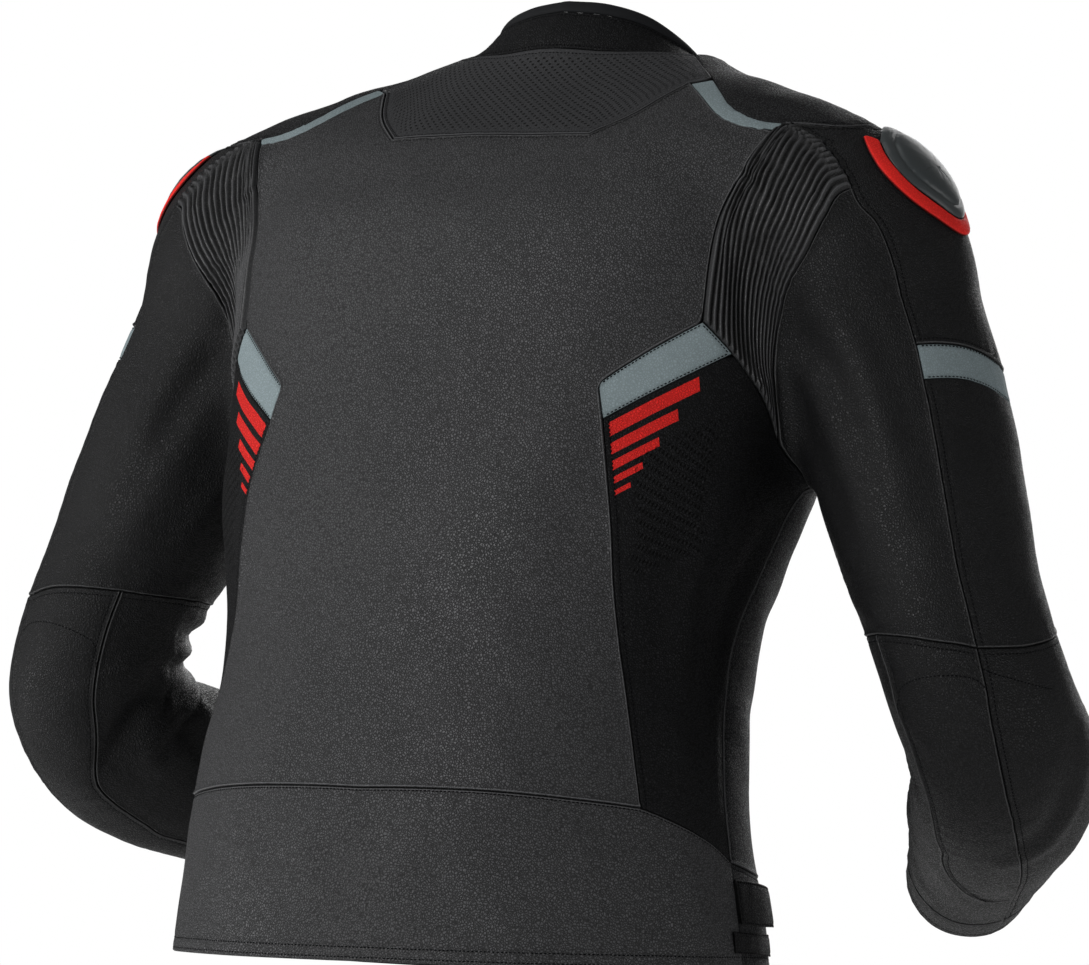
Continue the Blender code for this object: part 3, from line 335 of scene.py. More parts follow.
def even_out(net, rounds):
    """Each inner point moved to where the crossing lines of the net run evenly and never fold over."""
    for k in range(rounds):
        back, on = net[:-2], net[2:]
        across = (net[1:-1, 2:] - net[1:-1, :-2]) / 2
        down = (on[:, 1:-1] - back[:, 1:-1]) / 2
        wide = (across * across).sum(axis=2, keepdims=True)
        tall = (down * down).sum(axis=2, keepdims=True)
        skew = (across * down).sum(axis=2, keepdims=True)
        twist = (on[:, 2:] - on[:, :-2] - back[:, 2:] + back[:, :-2]) / 4
        even = (tall * (net[1:-1, 2:] + net[1:-1, :-2]) + wide * (on[:, 1:-1] + back[:, 1:-1])
                - 2 * skew * twist) / (2 * (wide + tall))
        net[1:-1, 1:-1] = 0.3 * net[1:-1, 1:-1] + 0.7 * even
        if k % 4 == 3 and net.size < 6000 or k == rounds - 1:
            net[1:-1, 1:-1] = settle(net[1:-1, 1:-1].reshape(-1, 3), 2).reshape(net[1:-1, 1:-1].shape)
    return net


def patch(top, bottom, left, right):
    """A piece of leather between four seams: a fine net of points and outward directions."""
    edges = (top, bottom, left, right)
    net = between(*(edge[::FINE, :3] for edge in edges))
    net[1:-1, 1:-1] = settle(net[1:-1, 1:-1].reshape(-1, 3), 9).reshape(net[1:-1, 1:-1].shape)
    net = finer(even_out(net, EVEN_ROUNDS))
    net += between(top[:, :3] - net[0], bottom[:, :3] - net[-1],
                   left[:, :3] - net[:, 0], right[:, :3] - net[:, -1])
    net = even_out(net, EVEN_ROUNDS)
    out = square_out(net, between(*(edge[:, 3:] for edge in edges)))
    out[0], out[-1], out[:, 0], out[:, -1] = (edge[:, 3:] for edge in edges)
    return np.concatenate([net, out], axis=2)


def both_halves(net):
    """Put the mirror image of a half in front of it, sharing the middle line."""
    other = net[:, :0:-1] * np.array([-1, 1, 1, -1, 1, 1])
    return np.concatenate([other, net], axis=1)


# mesh lines kept beside every seam; sewing runs on some of them
EDGE_LINES = np.array([0.0, 0.0005, 0.0011, 0.0018, 0.0027, 0.0040, 0.0058, 0.0092])
NEAR, TWIN = (5,), (4, 7)
ROLL = 0.0017             # how far in from the seam the turned edge is round
ROLL_DROP = 0.0012
SLANT_LEAST = 0.45        # edge lines open out where a row meets its seam aslant, up to this sine
EDGE_SHARE = 0.24         # of a narrow piece that the edge lines on one side may take
SEAM_REACH = 0.009        # as far from a seam as the finish asks


def lengths(net):
    """Length run along each row up to each point."""
    step = np.linalg.norm(np.diff(net[..., :3], axis=1), axis=2)
    return np.concatenate([np.zeros((len(net), 1)), np.cumsum(step, axis=1)], axis=1)


def lay_lines(net, step, count=None, even=False):
    """Lay the lines across each row afresh: close together beside the seams, a step apart between,
    or all evenly."""
    run = lengths(net)
    total = run[:, -1]
    if even:
        count = count or max(8, round(float(np.median(total)) / step))
        at = total[:, None] * np.linspace(0, 1, count + 1)
    else:
        ends = []
        for edge, inner in ((0, 1), (-1, -2)):
            way = unit(net[:, inner, :3] - net[:, edge, :3])
            seam_way = unit(np.gradient(net[:, edge, :3], axis=0))
            sine = np.linalg.norm(np.cross(way, seam_way), axis=1)
            sine = np.convolve(np.pad(sine, 3, mode="edge"), np.ones(7) / 7, mode="valid")
            reach = EDGE_LINES / np.maximum(sine, SLANT_LEAST)[:, None]
            ends.append(reach * np.minimum(1, EDGE_SHARE * total / reach[:, -1])[:, None])
        count = count or max(2, round((float(np.median(total)) - 2 * EDGE_LINES[-1]) / step))
        start, stop = ends[0][:, -1:], total[:, None] - ends[1][:, -1:]
        middle = start + (stop - start) * np.linspace(0, 1, count + 1)[1:-1]
        at = np.hstack([ends[0], middle, (total[:, None] - ends[1])[:, ::-1]])
    spots = np.array([np.interp(a, r, np.arange(len(r))) for a, r in zip(at, run)])
    return curve_points(net, spots)


BATCH = 4000


def line_distance(points, line):
    """Distance from each point to a line of straight pieces, and how far along it, 0 to 1."""
    best = np.full(len(points), 1e9)
    where = np.zeros(len(points))
    start, run = line[:-1], np.diff(line, axis=0)
    size = np.maximum((run * run).sum(axis=1), 1e-14)
    for k in range(0, len(points), BATCH):
        some = points[k:k + BATCH, None] - start[None]
        t = np.clip((some * run).sum(axis=2) / size, 0, 1)
        far = np.linalg.norm(some - t[..., None] * run, axis=2)
        at = np.argmin(far, axis=1)
        rows = np.arange(len(at))
        best[k:k + BATCH] = far[rows, at]
        where[k:k + BATCH] = (at + t[rows, at]) / len(run)
    return best, where


def folds_on(rows):
    """Soft ridges along lines on the form, or troughs where the height is below zero.  A row is three
    points, then width and height."""
    return [(settle(smooth_rows(spots, 24)), width, height) for *spots, width, height in rows]


FOLD_ENDS = 0.6           # how bluntly a fold runs out at its ends
BANK, BANK_WIDE = 0.32, 2.1         # the hollow beside a fold: its share, and so many widths


def fold_height(points, folds):
    """How far the folds lift each point."""
    lift = np.zeros(len(points))
    for line, width, height in folds:
        reach = 4 * width
        low, high = line.min(axis=0) - reach, line.max(axis=0) + reach
        near = np.flatnonzero(((points > low) & (points < high)).all(axis=1))
        if len(near):
            far, where = line_distance(points[near], line)
            x = far / width
            ends = np.sin(np.pi * np.clip(where, 0, 1))**FOLD_ENDS
            lift[near] += height * ends * (np.exp(-x * x) - BANK * np.exp(-(x / BANK_WIDE)**2))
    return lift


# waves of leather that was never quite flat: size, three directions, start
WAVES = np.array([
    (0.00050, 31.0, 17.0, 42.0, 0.3), (0.00040, -22.0, 53.0, 27.0, 1.9),
    (0.00028, 64.0, -35.0, 48.0, 4.1), (0.00022, 71.0, 83.0, -66.0, 2.2),
    (0.00016, -118.0, 64.0, 93.0, 5.0), (0.00012, 97.0, -142.0, 120.0, 0.8),
])


OTHER_SIDE = 1.3          # moves the waves on, so that the two sides differ


def unevenness(points, start=0.0):
    """How far the waves lift each point."""
    size, way, phase = WAVES[:, 0], WAVES[:, 1:4], WAVES[:, 4] + start
    return (np.sin(points @ way.T + phase) * size).sum(axis=1)


def pucker(run):
    """Small gathers that the sewing pulls in, along a seam."""
    wave = np.sin(run * 520 + 1.7 * np.sin(run * 83 + 0.4))
    return wave * (0.55 + 0.45 * np.sin(run * 61 + 1.1))


def lay_grid(name, surface, materials, place=None, values=None, weld=False):
    """A sheet of mesh faces through the points, facing the way its outward directions point."""
    points, out = surface[..., :3], surface[..., 3:]
    rows, cols = points.shape[:2]
    i, j = rows // 2, cols // 2
    facing = np.cross(points[i, j + 1] - points[i, j], points[i + 1, j] - points[i, j])
    turn = slice(None, None, -1) if facing @ out[i, j] < 0 else slice(None)
    sheet = bmesh.new()
    bmesh.ops.create_grid(sheet, x_segments=cols - 1, y_segments=rows - 1, size=0.5)
    mesh = bpy.data.meshes.new(name)
    sheet.to_mesh(mesh)
    mesh.vertices.foreach_set("co", points[:, turn].reshape(-1))
    if place is not None:
        corner = np.zeros(len(mesh.loops), np.int32)
        mesh.loops.foreach_get("vertex_index", corner)
        layer = mesh.uv_layers.new(name="cut")
        layer.data.foreach_set("uv", place[:, turn].reshape(-1, 2)[corner].reshape(-1))
    for key, value in (values or {}).items():
        spread = mesh.attributes.new(key, "FLOAT", "POINT")
        spread.data.foreach_set("value", value[:, turn].reshape(-1).astype(np.float32))
    if weld:
        sheet.from_mesh(mesh)
        sheet.clear()
        sheet.from_mesh(mesh)
        bmesh.ops.remove_doubles(sheet, verts=sheet.verts, dist=1e-5)
        sheet.to_mesh(mesh)
    sheet.free()
    mesh.shade_smooth()
    for material in materials:
        mesh.materials.append(material)
    made = bpy.data.objects.new(name, mesh)
    scene.collection.objects.link(made)
    return made


def give_wall(piece, thick):
    """Give a sheet its thickness, inwards, with the lining as its inner face."""
    wall = piece.modifiers.new("wall", "SOLIDIFY")
    wall.thickness = thick
    wall.offset = -1.0
    wall.material_offset = 1
    wall.material_offset_rim = 0


def mirrored(surface):
    return surface * np.array([-1, 1, 1, -1, 1, 1])


STITCH = 0.0028           # length of a stitch with the gap after it
THREAD = 0.00052


def sew(name, rows):
    """Machine stitches along the rows: each a small rounded thread, joined as one mesh."""
    single = bmesh.new()
    bmesh.ops.create_uvsphere(single, u_segments=6, v_segments=4, radius=1.0)
    shape = np.array([v.co[:] for v in single.verts])
    sides = [[v.index for v in f.verts] for f in single.faces]
    single.free()
    places = []
    for row in rows:
        run = np.linalg.norm(np.diff(row[:, :3], axis=0), axis=1).sum()
        row = along(row, 2 * max(2, round(run / STITCH)))
        way = unit(row[2::2, :3] - row[:-2:2, :3])
        up = unit(row[1::2, 3:])
        sunk = row[1::2, :3] - up * THREAD * 0.15
        places.append(np.stack([sunk, np.cross(way, up), up, way], axis=1))
    places = np.concatenate(places)
    size = np.array([THREAD, THREAD * 0.7, STITCH * 0.37])
    verts = places[:, None, 0] + np.einsum("vk,nkd->nvd", shape * size, places[:, 1:])
    count = len(shape)
    faces = [[v + k * count for v in side] for k in range(len(places)) for side in sides]
    mesh = bpy.data.meshes.new(name)
    mesh.from_pydata(verts.reshape(-1, 3).tolist(), [], faces)
    mesh.shade_smooth()
    mesh.materials.append(thread_black)
    made = bpy.data.objects.new(name, mesh)
    scene.collection.objects.link(made)
    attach(made, "jacket")
    return made


MM = 1000.0
RIDGE_AT, RIDGE_WIDE = 0.0016, 0.0011             # the raised edge beside a seam
SEWN_WIDE, SEWN_DIP, SEWN_SHADE = 0.0009, 0.0003, 0.2     # how a row of sewing pulls in, and how dark its dip is painted, as shade
GATHERS_TO, GATHERS_FROM = 0.011, 0.004           # where along the way in from a seam it gathers
SEWN_GATHERS = 2.6        # as many times deeper where it is sewn through
PLAIN_EDGE = (0.0, ())
SIDES = ("top", "bottom", "left", "right")


def cloth(cad_node, net, finish, mirror=False, step=0.0042, across_count=None, edges=None,
          folds=(), raised=None, lift=0.0, thick=LEATHER, holes=None, tube=False, even=False,
          slot="black_leather", rests_on=(), gathers=0.0002, rows=(), roll=1.0):
    """One cut piece: its net, its rolled and sewn edges and its folds become a sheet that stands for
    the solid of that name.  edges gives each side's ridge and the mesh lines that are sewn."""
    edges = edges or {}
    net = lay_lines(net, step, across_count, tube or even)
    net = lay_lines(net.transpose(1, 0, 2), step).transpose(1, 0, 2)
    points, out = net[..., :3], unit(net[..., 3:])
    flat = points.reshape(-1, 3)
    across = lengths(net)
    down = lengths(net.transpose(1, 0, 2)).T
    height = lift + unevenness(flat, OTHER_SIDE if mirror else 0.0) + fold_height(flat, folds)
    # painted shade: how dark each point is painted, in the dips of the sewing and the hollows of raised
    # shapes
    groove_shade = np.zeros(len(flat))
    beaded = np.full(len(flat), SEAM_REACH)
    lines = {"top": points[0], "bottom": points[-1], "left": points[:, 0], "right": points[:, -1]}
    inmost = np.full(len(flat), 1.0)
    for side in SIDES[:2] if tube else SIDES:
        ridge, sewn = edges.get(side, PLAIN_EDGE)
        far, where = line_distance(flat, lines[side])
        inmost = np.minimum(inmost, far)
        x = np.clip(1 - far / ROLL, 0, 1)
        height -= roll * ROLL_DROP * (1 - np.sqrt(1 - x * x))
        height += ridge * np.exp(-((far - RIDGE_AT) / RIDGE_WIDE)**2)
        if ridge:
            beaded = np.minimum(beaded, far)
        for k in sewn:
            dip = np.exp(-((far - EDGE_LINES[k]) / SEWN_WIDE)**2)
            height -= SEWN_DIP * dip
            # the dip of the sewing is painted darker, as shade
            groove_shade = np.maximum(groove_shade, SEWN_SHADE * dip)
        size = np.linalg.norm(np.diff(lines[side], axis=0), axis=1).sum()
        grip = np.exp(-far / GATHERS_TO) * (1 - np.exp(-far / GATHERS_FROM))
        height += gathers * (SEWN_GATHERS if sewn else 1.0) * pucker(where * size + len(side)) * grip
    if raised is not None:
        u = (across / across[:, -1:]).reshape(-1)
        v = (down / down[-1:]).reshape(-1)
        # a raised shape gives its height and the painted shade in its hollows
        more, dark = raised(u, v, inmost)
        height += more
        groove_shade = np.maximum(groove_shade, dark)
    surface = np.concatenate([points + out * height.reshape(across.shape)[..., None], out], axis=2)
    if mirror:
        surface = mirrored(surface)
    middle = across[:, -1:] / 2
    place = np.stack([across - middle, -down], axis=2)
    u, v = across / across[:, -1:], down / down[-1:]
    values = {"groove_shade": groove_shade, "edge_mm": MM * np.minimum(inmost, SEAM_REACH), "bead_mm": MM * beaded}
    values = {key: value.reshape(across.shape) for key, value in values.items()}
    values["holes"] = holes(u, v, inmost.reshape(across.shape)) if holes else 0 * across
    name = cad_node + "_cloth"
    made = lay_grid(name, surface, (finish, lining), place, values, weld=tube)
    give_wall(made, thick)
    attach(made, "jacket")
    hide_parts(cad_node)
    sewing = []
    for side, (ridge, sewn) in edges.items():
        for k in sewn:
            inner = -1 - k if side in ("bottom", "right") else k
            row = surface[inner] if side in ("top", "bottom") else surface[:, inner]
            sewing.append(row if tube else row[4:-4])
    sewing += [trace(surface, spots) for spots in rows]
    stitches = [sew(cad_node + "_stitches", sewing)] if sewing else []
    tall = float(lengths(surface.transpose(1, 0, 2))[:, -1].max())
    return surface


def trace(surface, spots):
    """A line over a piece through spots given as shares across and down."""
    spots = smooth_rows(spots, 60)
    rows, cols = surface.shape[:2]
    j = np.clip(spots[:, 0] * (cols - 1), 0, cols - 1.001)
    i = np.clip(spots[:, 1] * (rows - 1), 0, rows - 1.001)
    a, b = i.astype(int), j.astype(int)
    f, g = (i - a)[:, None], (j - b)[:, None]
    return ((1 - f) * ((1 - g) * surface[a, b] + g * surface[a, b + 1])
            + f * ((1 - g) * surface[a + 1, b] + g * surface[a + 1, b + 1]))


def number(tree, operation, a, b=None, clamp=False):
    """The result of one sum between two numbers or sockets."""
    inputs = {0: a} if b is None else {0: a, 1: b}
    return node(tree, "Math", inputs, operation=operation, use_clamp=clamp).outputs[0]


def share(tree, factor, low, high):
    """A colour between two others."""
    made = node(tree, "Mix", {0: factor, 6: low, 7: high}, data_type="RGBA")
    return made.outputs[2]


def plus(tree, a, b, by):
    """The sum of one value and a share of another."""
    made = number(tree, "MULTIPLY_ADD", b, by)
    if isinstance(a, bpy.types.NodeSocket):
        tree.links.new(a, made.node.inputs[2])
    else:
        made.node.inputs[2].default_value = a
    return made


def hump(tree, value, middle, wide):
    """A smooth rise from 0 to 1 and back, round one value."""
    x = number(tree, "MULTIPLY", number(tree, "SUBTRACT", value, middle), 1 / wide)
    rise = number(tree, "SUBTRACT", 1.0, number(tree, "MULTIPLY", x, x), clamp=True)
    return number(tree, "MULTIPLY", rise, rise)


PEBBLES, CRUMBS = 580.0, 1150.0     # grains to a metre: the large, and the small between them
PEBBLE_CREASE, CRUMB_CREASE = 0.32, 0.36
PEBBLE_SHARE = 0.88
DRIFT, WARP = 9.0, 170.0  # scales at which the tone drifts and the grain bends
WARP_FAR = 0.0030
HOLE_WAY = (0.0064, 0.0060)     # between holes along a row, and between every second row
HOLE_RADIUS = 0.00100
# a punched hole is painted near black, as the shade inside it
HOLE_SHADE = (0.0006, 0.0006, 0.0006, 1.0)
DIAGONAL = math.radians(45)
HOLE_SINKS, HOLE_ROUGH = -2.0, 0.4
GRAIN_DEEP = 0.00042      # depth of the pebbled grain
# where the drift makes the hide supple, its grain goes from this share to the whole
SUPPLE_FROM, SUPPLE_TO, SUPPLE_LEAST = 0.35, 0.62, 0.55
DYED_DARK, DYED_LIGHT = 0.70, 1.30
SHADE_TONE, HIGHLIGHT_TONE = 0.12, 1.4  # of the dye: painted shade in creases, gaps and sewn dips, and painted highlight with wear on turned edges
CREASE_ROUGH, GROOVE_ROUGH = 0.40, 0.30       # how much duller the creases and the sewn lines are
BEAD_AT, BEAD_WIDE = 1.05, 0.80     # the turned edge beside a seam, in mm from the seam
BEAD_HIGH = 0.00055
# how far the bead is painted lighter, as highlight with wear, and how much glossier it is
BEAD_HIGHLIGHT, BEAD_ROUGH = 0.8, -0.10
FOOT_AT, FOOT_WIDE, FOOT_SHADOW = BEAD_AT + 1.35 * BEAD_WIDE, 0.6 * BEAD_WIDE, 0.7    # its far side, where a painted shadow lies at the bead's foot
GAP_FROM, GAP_TO = 0.15, 0.60       # mm from a seam: painted shade in the seam's gap, black up to the first, gone by the second


def hole_distance(tree, place):
    """How far each spot is from its nearest hole; every second row is moved half a step."""
    along_, apart = HOLE_WAY
    spread = tuple(math.sqrt(2) / size for size in HOLE_WAY) + (1.0,)
    turned = node(tree, "Mapping", {"Vector": place, "Rotation": (0, 0, DIAGONAL),
                                    "Scale": spread}).outputs[0]
    cell = node(tree, "VectorMath", {0: turned}, operation="FRACTION").outputs[0]
    cell = node(tree, "VectorMath", {0: cell, 1: (0.5, 0.5, 0.0)}, operation="SUBTRACT").outputs[0]
    back = node(tree, "Mapping", {"Vector": cell, "Rotation": (0, 0, -DIAGONAL)}).outputs[0]
    real = (along_ / math.sqrt(2), apart / math.sqrt(2), 0.0)
    flat = node(tree, "VectorMath", {0: back, 1: real}, operation="MULTIPLY").outputs[0]
    return node(tree, "VectorMath", {0: flat}, operation="LENGTH").outputs[1]


def attribute(tree, name):
    return node(tree, "Attribute", attribute_name=name).outputs["Fac"]


def tone(colour, by, more=0.0):
    """A colour made darker or lighter, with its alpha."""
    return tuple(c * by + more for c in colour[:3]) + (1.0,)


def grains(tree, place, scale, crease):
    """Rounded cells with creases between them."""
    cell = node(tree, "TexVoronoi", {"Vector": place, "Scale": scale}, feature="DISTANCE_TO_EDGE")
    cell = cell.outputs[0]
    return node(tree, "MapRange", {0: cell, 2: crease}, interpolation_type="SMOOTHSTEP").outputs[0]


def leather(name, colour, roughness, grain=1.0, holes=False, design=None, shine=0.16, rub_highlight=0.045):
    """Dyed cowhide: pebbled grain with painted shade in its creases, tone that drifts, painted shade in
    the seams and sewn grooves, and glossy turned edges painted lighter as highlight and wear.
    """
    made, tree = fresh_material(name)
    place = node(tree, "TexCoord").outputs["Object"]
    drift = node(tree, "TexNoise", {"Vector": place, "Scale": DRIFT, "Detail": 3.0}).outputs[0]
    warp = node(tree, "TexNoise", {"Vector": place, "Scale": WARP, "Detail": 1.0}).outputs[1]
    bent = node(tree, "VectorMath", {0: warp, 1: (WARP_FAR,) * 3, 2: place},
                operation="MULTIPLY_ADD").outputs[0]
    pebble = grains(tree, bent, PEBBLES, PEBBLE_CREASE)
    crumb = grains(tree, bent, CRUMBS, CRUMB_CREASE)
    relief = plus(tree, number(tree, "MULTIPLY", pebble, PEBBLE_SHARE), crumb, 1 - PEBBLE_SHARE)
    supple = node(tree, "MapRange", {0: drift, 1: SUPPLE_FROM, 2: SUPPLE_TO, 3: SUPPLE_LEAST,
                                     4: 1.0}).outputs[0]
    groove_shade, edge, rim = (attribute(tree, key) for key in ("groove_shade", "edge_mm", "bead_mm"))
    # painted shade in the gap at each seam
    gap = node(tree, "MapRange", {0: edge, 1: GAP_FROM, 2: GAP_TO, 3: 1.0, 4: 0.0}).outputs[0]
    bead = hump(tree, rim, BEAD_AT, BEAD_WIDE)
    # where a painted shadow lies at the bead's foot
    foot = hump(tree, rim, FOOT_AT, FOOT_WIDE)
    # the colour that painted shade darkens towards
    deep = tone(colour, SHADE_TONE)
    # the colour of the painted highlight, with wear, on the turned edges
    rubbed_highlight = tuple(min(1.0, c) for c in tone(colour, HIGHLIGHT_TONE, rub_highlight))
    toned = share(tree, drift, tone(colour, DYED_DARK), tone(colour, DYED_LIGHT))
    crisp = min(1.0, grain)
    # the grain's creases painted darker, as shade
    shaded = share(tree, plus(tree, 1 - crisp, relief, crisp), deep, toned)
    # the bead beside each seam painted lighter: painted highlight with wear
    shaded = share(tree, number(tree, "MULTIPLY", bead, BEAD_HIGHLIGHT), shaded, rubbed_highlight)
    if design:
        shaded = design(tree, place, shaded, relief)
    # painted shade in the sewn dips and hollows, the seams' gaps and the bead's foot
    dark = number(tree, "MAXIMUM", groove_shade, gap)
    dark = number(tree, "MAXIMUM", dark, number(tree, "MULTIPLY", foot, FOOT_SHADOW))
    shaded = share(tree, dark, shaded, deep)
    rough = plus(tree, roughness + CREASE_ROUGH, relief, -CREASE_ROUGH)
    rough = plus(tree, plus(tree, rough, bead, BEAD_ROUGH), groove_shade, GROOVE_ROUGH)
    if holes:
        cut = node(tree, "UVMap", uv_map="cut").outputs[0]
        far = hole_distance(tree, cut)
        open_ = node(tree, "MapRange", {0: far, 1: HOLE_RADIUS * 0.85, 2: HOLE_RADIUS * 1.15,
                                        3: 1.0, 4: 0.0}).outputs[0]
        open_ = number(tree, "MULTIPLY", open_, attribute(tree, "holes"))
        # each hole painted near black, as the shade inside it
        shaded = share(tree, open_, shaded, HOLE_SHADE)
        relief = plus(tree, relief, open_, HOLE_SINKS)
        rough = plus(tree, rough, open_, HOLE_ROUGH)
    grained = number(tree, "MULTIPLY", relief, supple)
    deep = {"Strength": 1.0, "Distance": GRAIN_DEEP * grain, "Height": grained}
    fine = node(tree, "Bump", deep).outputs[0]
    bump = node(tree, "Bump", {"Strength": 1.0, "Distance": BEAD_HIGH, "Height": bead,
                               "Normal": fine}).outputs[0]
    return finish_with(made, {"Base Color": shaded, "Roughness": rough, "Normal": bump,
                              "Specular IOR Level": shine})


THREAD_DEEP = 0.0003


def woven(name, colour, scale, roughness=0.85, strength=0.5, shine=0.2):
    """Cloth of crossing threads, for the lining, the zip's tape and the sewing thread."""
    made, tree = fresh_material(name)
    place = node(tree, "TexCoord").outputs["Object"]
    bands = [node(tree, "TexWave", {"Vector": place, "Scale": scale, "Distortion": 0.6},
                  bands_direction=way).outputs[0] for way in ("X", "Z")]
    weave = number(tree, "MULTIPLY", bands[0], bands[1])
    # painted shade: darker in the hollows between the threads
    toned = share(tree, weave, tone(colour, 0.45), tone(colour, 1.0))
    bump = node(tree, "Bump", {"Strength": strength, "Distance": THREAD_DEEP, "Height": weave}).outputs[0]
    return finish_with(made, {"Base Color": toned, "Roughness": roughness, "Normal": bump,
                              "Specular IOR Level": shine})


lining = woven("mesh_lining", (0.030, 0.031, 0.033), 380.0)
thread_black = woven("black_thread", (0.004, 0.004, 0.005), 900.0, 0.75, 0.3, shine=0.04)
# One black cowhide in lit and shaded copies: its colour is painted lighter on the back panel, waistband
# and yoke, where the light falls, and near black on the sides and sleeves, as painted shade
lit_back_leather = leather("lit_back_leather", (0.0540, 0.0545, 0.0580), 0.36, shine=0.37)
punched_leather = leather("punched_leather", (0.0360, 0.0365, 0.0390), 0.40, 0.35, holes=True,
                          shine=0.26, rub_highlight=0.020)

FRONT_EDGE = 0.0060       # half the gap between the two fronts
neck_back = seam([
    (0.0000, 0.0720, -0.0075), (0.0382, 0.0687, -0.0085), (0.0684, 0.0541, -0.0093),
    (0.0910, 0.0330, -0.0115)
], 7)
neck_to_strip = seam([(0.0910, 0.0330, -0.0115), (0.1120, 0.0580, -0.0220), (0.1297, 0.0783, -0.0319)], 2)
strip_end = seam([(0.1180, 0.0890, -0.0340), (0.1297, 0.0783, -0.0319)], 2)
yoke_side = seam([(0.0755, 0.1507, -0.0682), (0.1002, 0.1248, -0.0505), (0.1180, 0.0890, -0.0340)], 4)
yoke_low = seam([(0.0000, 0.1548, -0.0678), (0.0755, 0.1507, -0.0682)], 3)
yoke_middle = seam([(0.0000, 0.0720, -0.0075), (0.0000, 0.1150, -0.0400), (0.0000, 0.1548, -0.0678)], 4)
yoke = patch(neck_back, join(yoke_low, yoke_side), yoke_middle, join(neck_to_strip, flip(strip_end)))


YOKE_BORDER, BORDER_FADE = 0.0055, 0.001


def inside_border(u, v, inmost):
    """The yoke is punched all over but for its border."""
    return np.clip((inmost - YOKE_BORDER) / BORDER_FADE, 0, 1)


cloth("back_yoke", both_halves(yoke), punched_leather, step=0.0036, holes=inside_border,
      rests_on=["back_panel_cloth"],
      edges={"bottom": (0.0006, (4,)), "top": (0.0, NEAR), "left": (0.0006, ()), "right": (0.0006, ())})

# ---- Shoulder strips -------------------------------------------------------
# A narrow strip of grey leather runs from each end of the yoke along the back
# of the shoulder to the head of the stretch panel.
BOTH = (("left", False), ("right", True))     # a piece as drawn, and its mirror image
grey_leather = leather("grey_leather", (0.235, 0.288, 0.302), 0.50, 0.30)
strip_high = seam([
    (0.1297, 0.0783, -0.0319), (0.1620, 0.1144, -0.0472), (0.1830, 0.1205, -0.0565),
    (0.2050, 0.1184, -0.0597)
], 4)
strip_low = seam([
    (0.1180, 0.0890, -0.0340), (0.1527, 0.1220, -0.0512), (0.1732, 0.1281, -0.0606),
    (0.2000, 0.1257, -0.0644)
], 4)
ribs_top_end = seam([(0.2000, 0.1257, -0.0644), (0.2050, 0.1184, -0.0597)], 1)
strip = patch(strip_high, strip_low, flip(strip_end), flip(recount(ribs_top_end, 2)))
for side, mirror in BOTH:
    cloth("shoulder_strip_" + side, strip, grey_leather, mirror, 0.0030, slot="grey_leather",
          rests_on=["back_panel_cloth"])

# ---- Back panel ------------------------------------------------------------
# One large pebbled hide from the yoke to the waist seam, with a rolled and
# sewn edge at its sides.  It is smooth, with long shallow drag folds near the waist.
WAIST_BACK = [(0.0000, 0.3172, -0.4949), (0.0659, 0.3118, -0.4948), (0.1246, 0.2923, -0.4987),
              (0.1537, 0.2727, -0.5026), (0.1739, 0.2502, -0.5069)]
ribs_inner = seam([
    (0.2000, 0.1257, -0.0644), (0.1944, 0.1374, -0.0772), (0.1874, 0.1476, -0.0970),
    (0.1785, 0.1585, -0.1264), (0.1750, 0.1657, -0.1558), (0.1747, 0.1718, -0.1818),
    (0.1749, 0.1750, -0.1961)
], 8)
flash_high = seam([(0.1749, 0.1750, -0.1961), (0.1488, 0.1985, -0.2144), (0.1212, 0.2180, -0.2358)], 4)
flash_inner = seam([(0.1212, 0.2180, -0.2358), (0.1271, 0.2232, -0.2584)], 2)
side_back = seam([
    (0.1271, 0.2232, -0.2584), (0.1322, 0.2283, -0.2810), (0.1411, 0.2361, -0.3241),
    (0.1490, 0.2423, -0.3740), (0.1618, 0.2456, -0.4390), (0.1739, 0.2502, -0.5069)
], 8)
waist_back = seam(WAIST_BACK, 7)
back_middle = seam([
    (0.0000, 0.1548, -0.0678), (0.0000, 0.2228, -0.2000), (0.0000, 0.2600, -0.3100),
    (0.0000, 0.2920, -0.4000), (0.0000, 0.3172, -0.4949)
], 26)
back_side = join(strip_low, ribs_inner, flash_high, flash_inner, side_back)
back = patch(join(yoke_low, yoke_side), waist_back, back_middle, back_side)
BACK_FOLDS = folds_on([
    ((-0.080, 0.285, -0.42), (-0.095, 0.300, -0.46), (-0.100, 0.300, -0.492), 0.016, 0.0014),
    ((-0.020, 0.290, -0.41), (-0.028, 0.305, -0.45), (-0.026, 0.312, -0.492), 0.020, -0.0013),
    ((0.055, 0.285, -0.40), (0.070, 0.300, -0.45), (0.078, 0.305, -0.492), 0.018, 0.0015),
    ((0.120, 0.215, -0.27), (0.100, 0.235, -0.33), (0.098, 0.262, -0.40), 0.022, 0.0018),
    ((-0.130, 0.215, -0.26), (-0.118, 0.235, -0.33), (-0.120, 0.262, -0.41), 0.020, -0.0016),
    ((0.150, 0.160, -0.13), (0.110, 0.185, -0.17), (0.060, 0.205, -0.19), 0.024, 0.0016),
    ((-0.150, 0.160, -0.13), (-0.120, 0.185, -0.18), (-0.090, 0.205, -0.23), 0.022, 0.0015),
])
cloth("back_panel", both_halves(back), lit_back_leather, step=0.0046, folds=BACK_FOLDS,
      edges={"top": (0.0006, (4,)), "bottom": (0.0009, ()), "left": (0.0008, ()), "right": (0.0008, ())},
      gathers=0.0003)

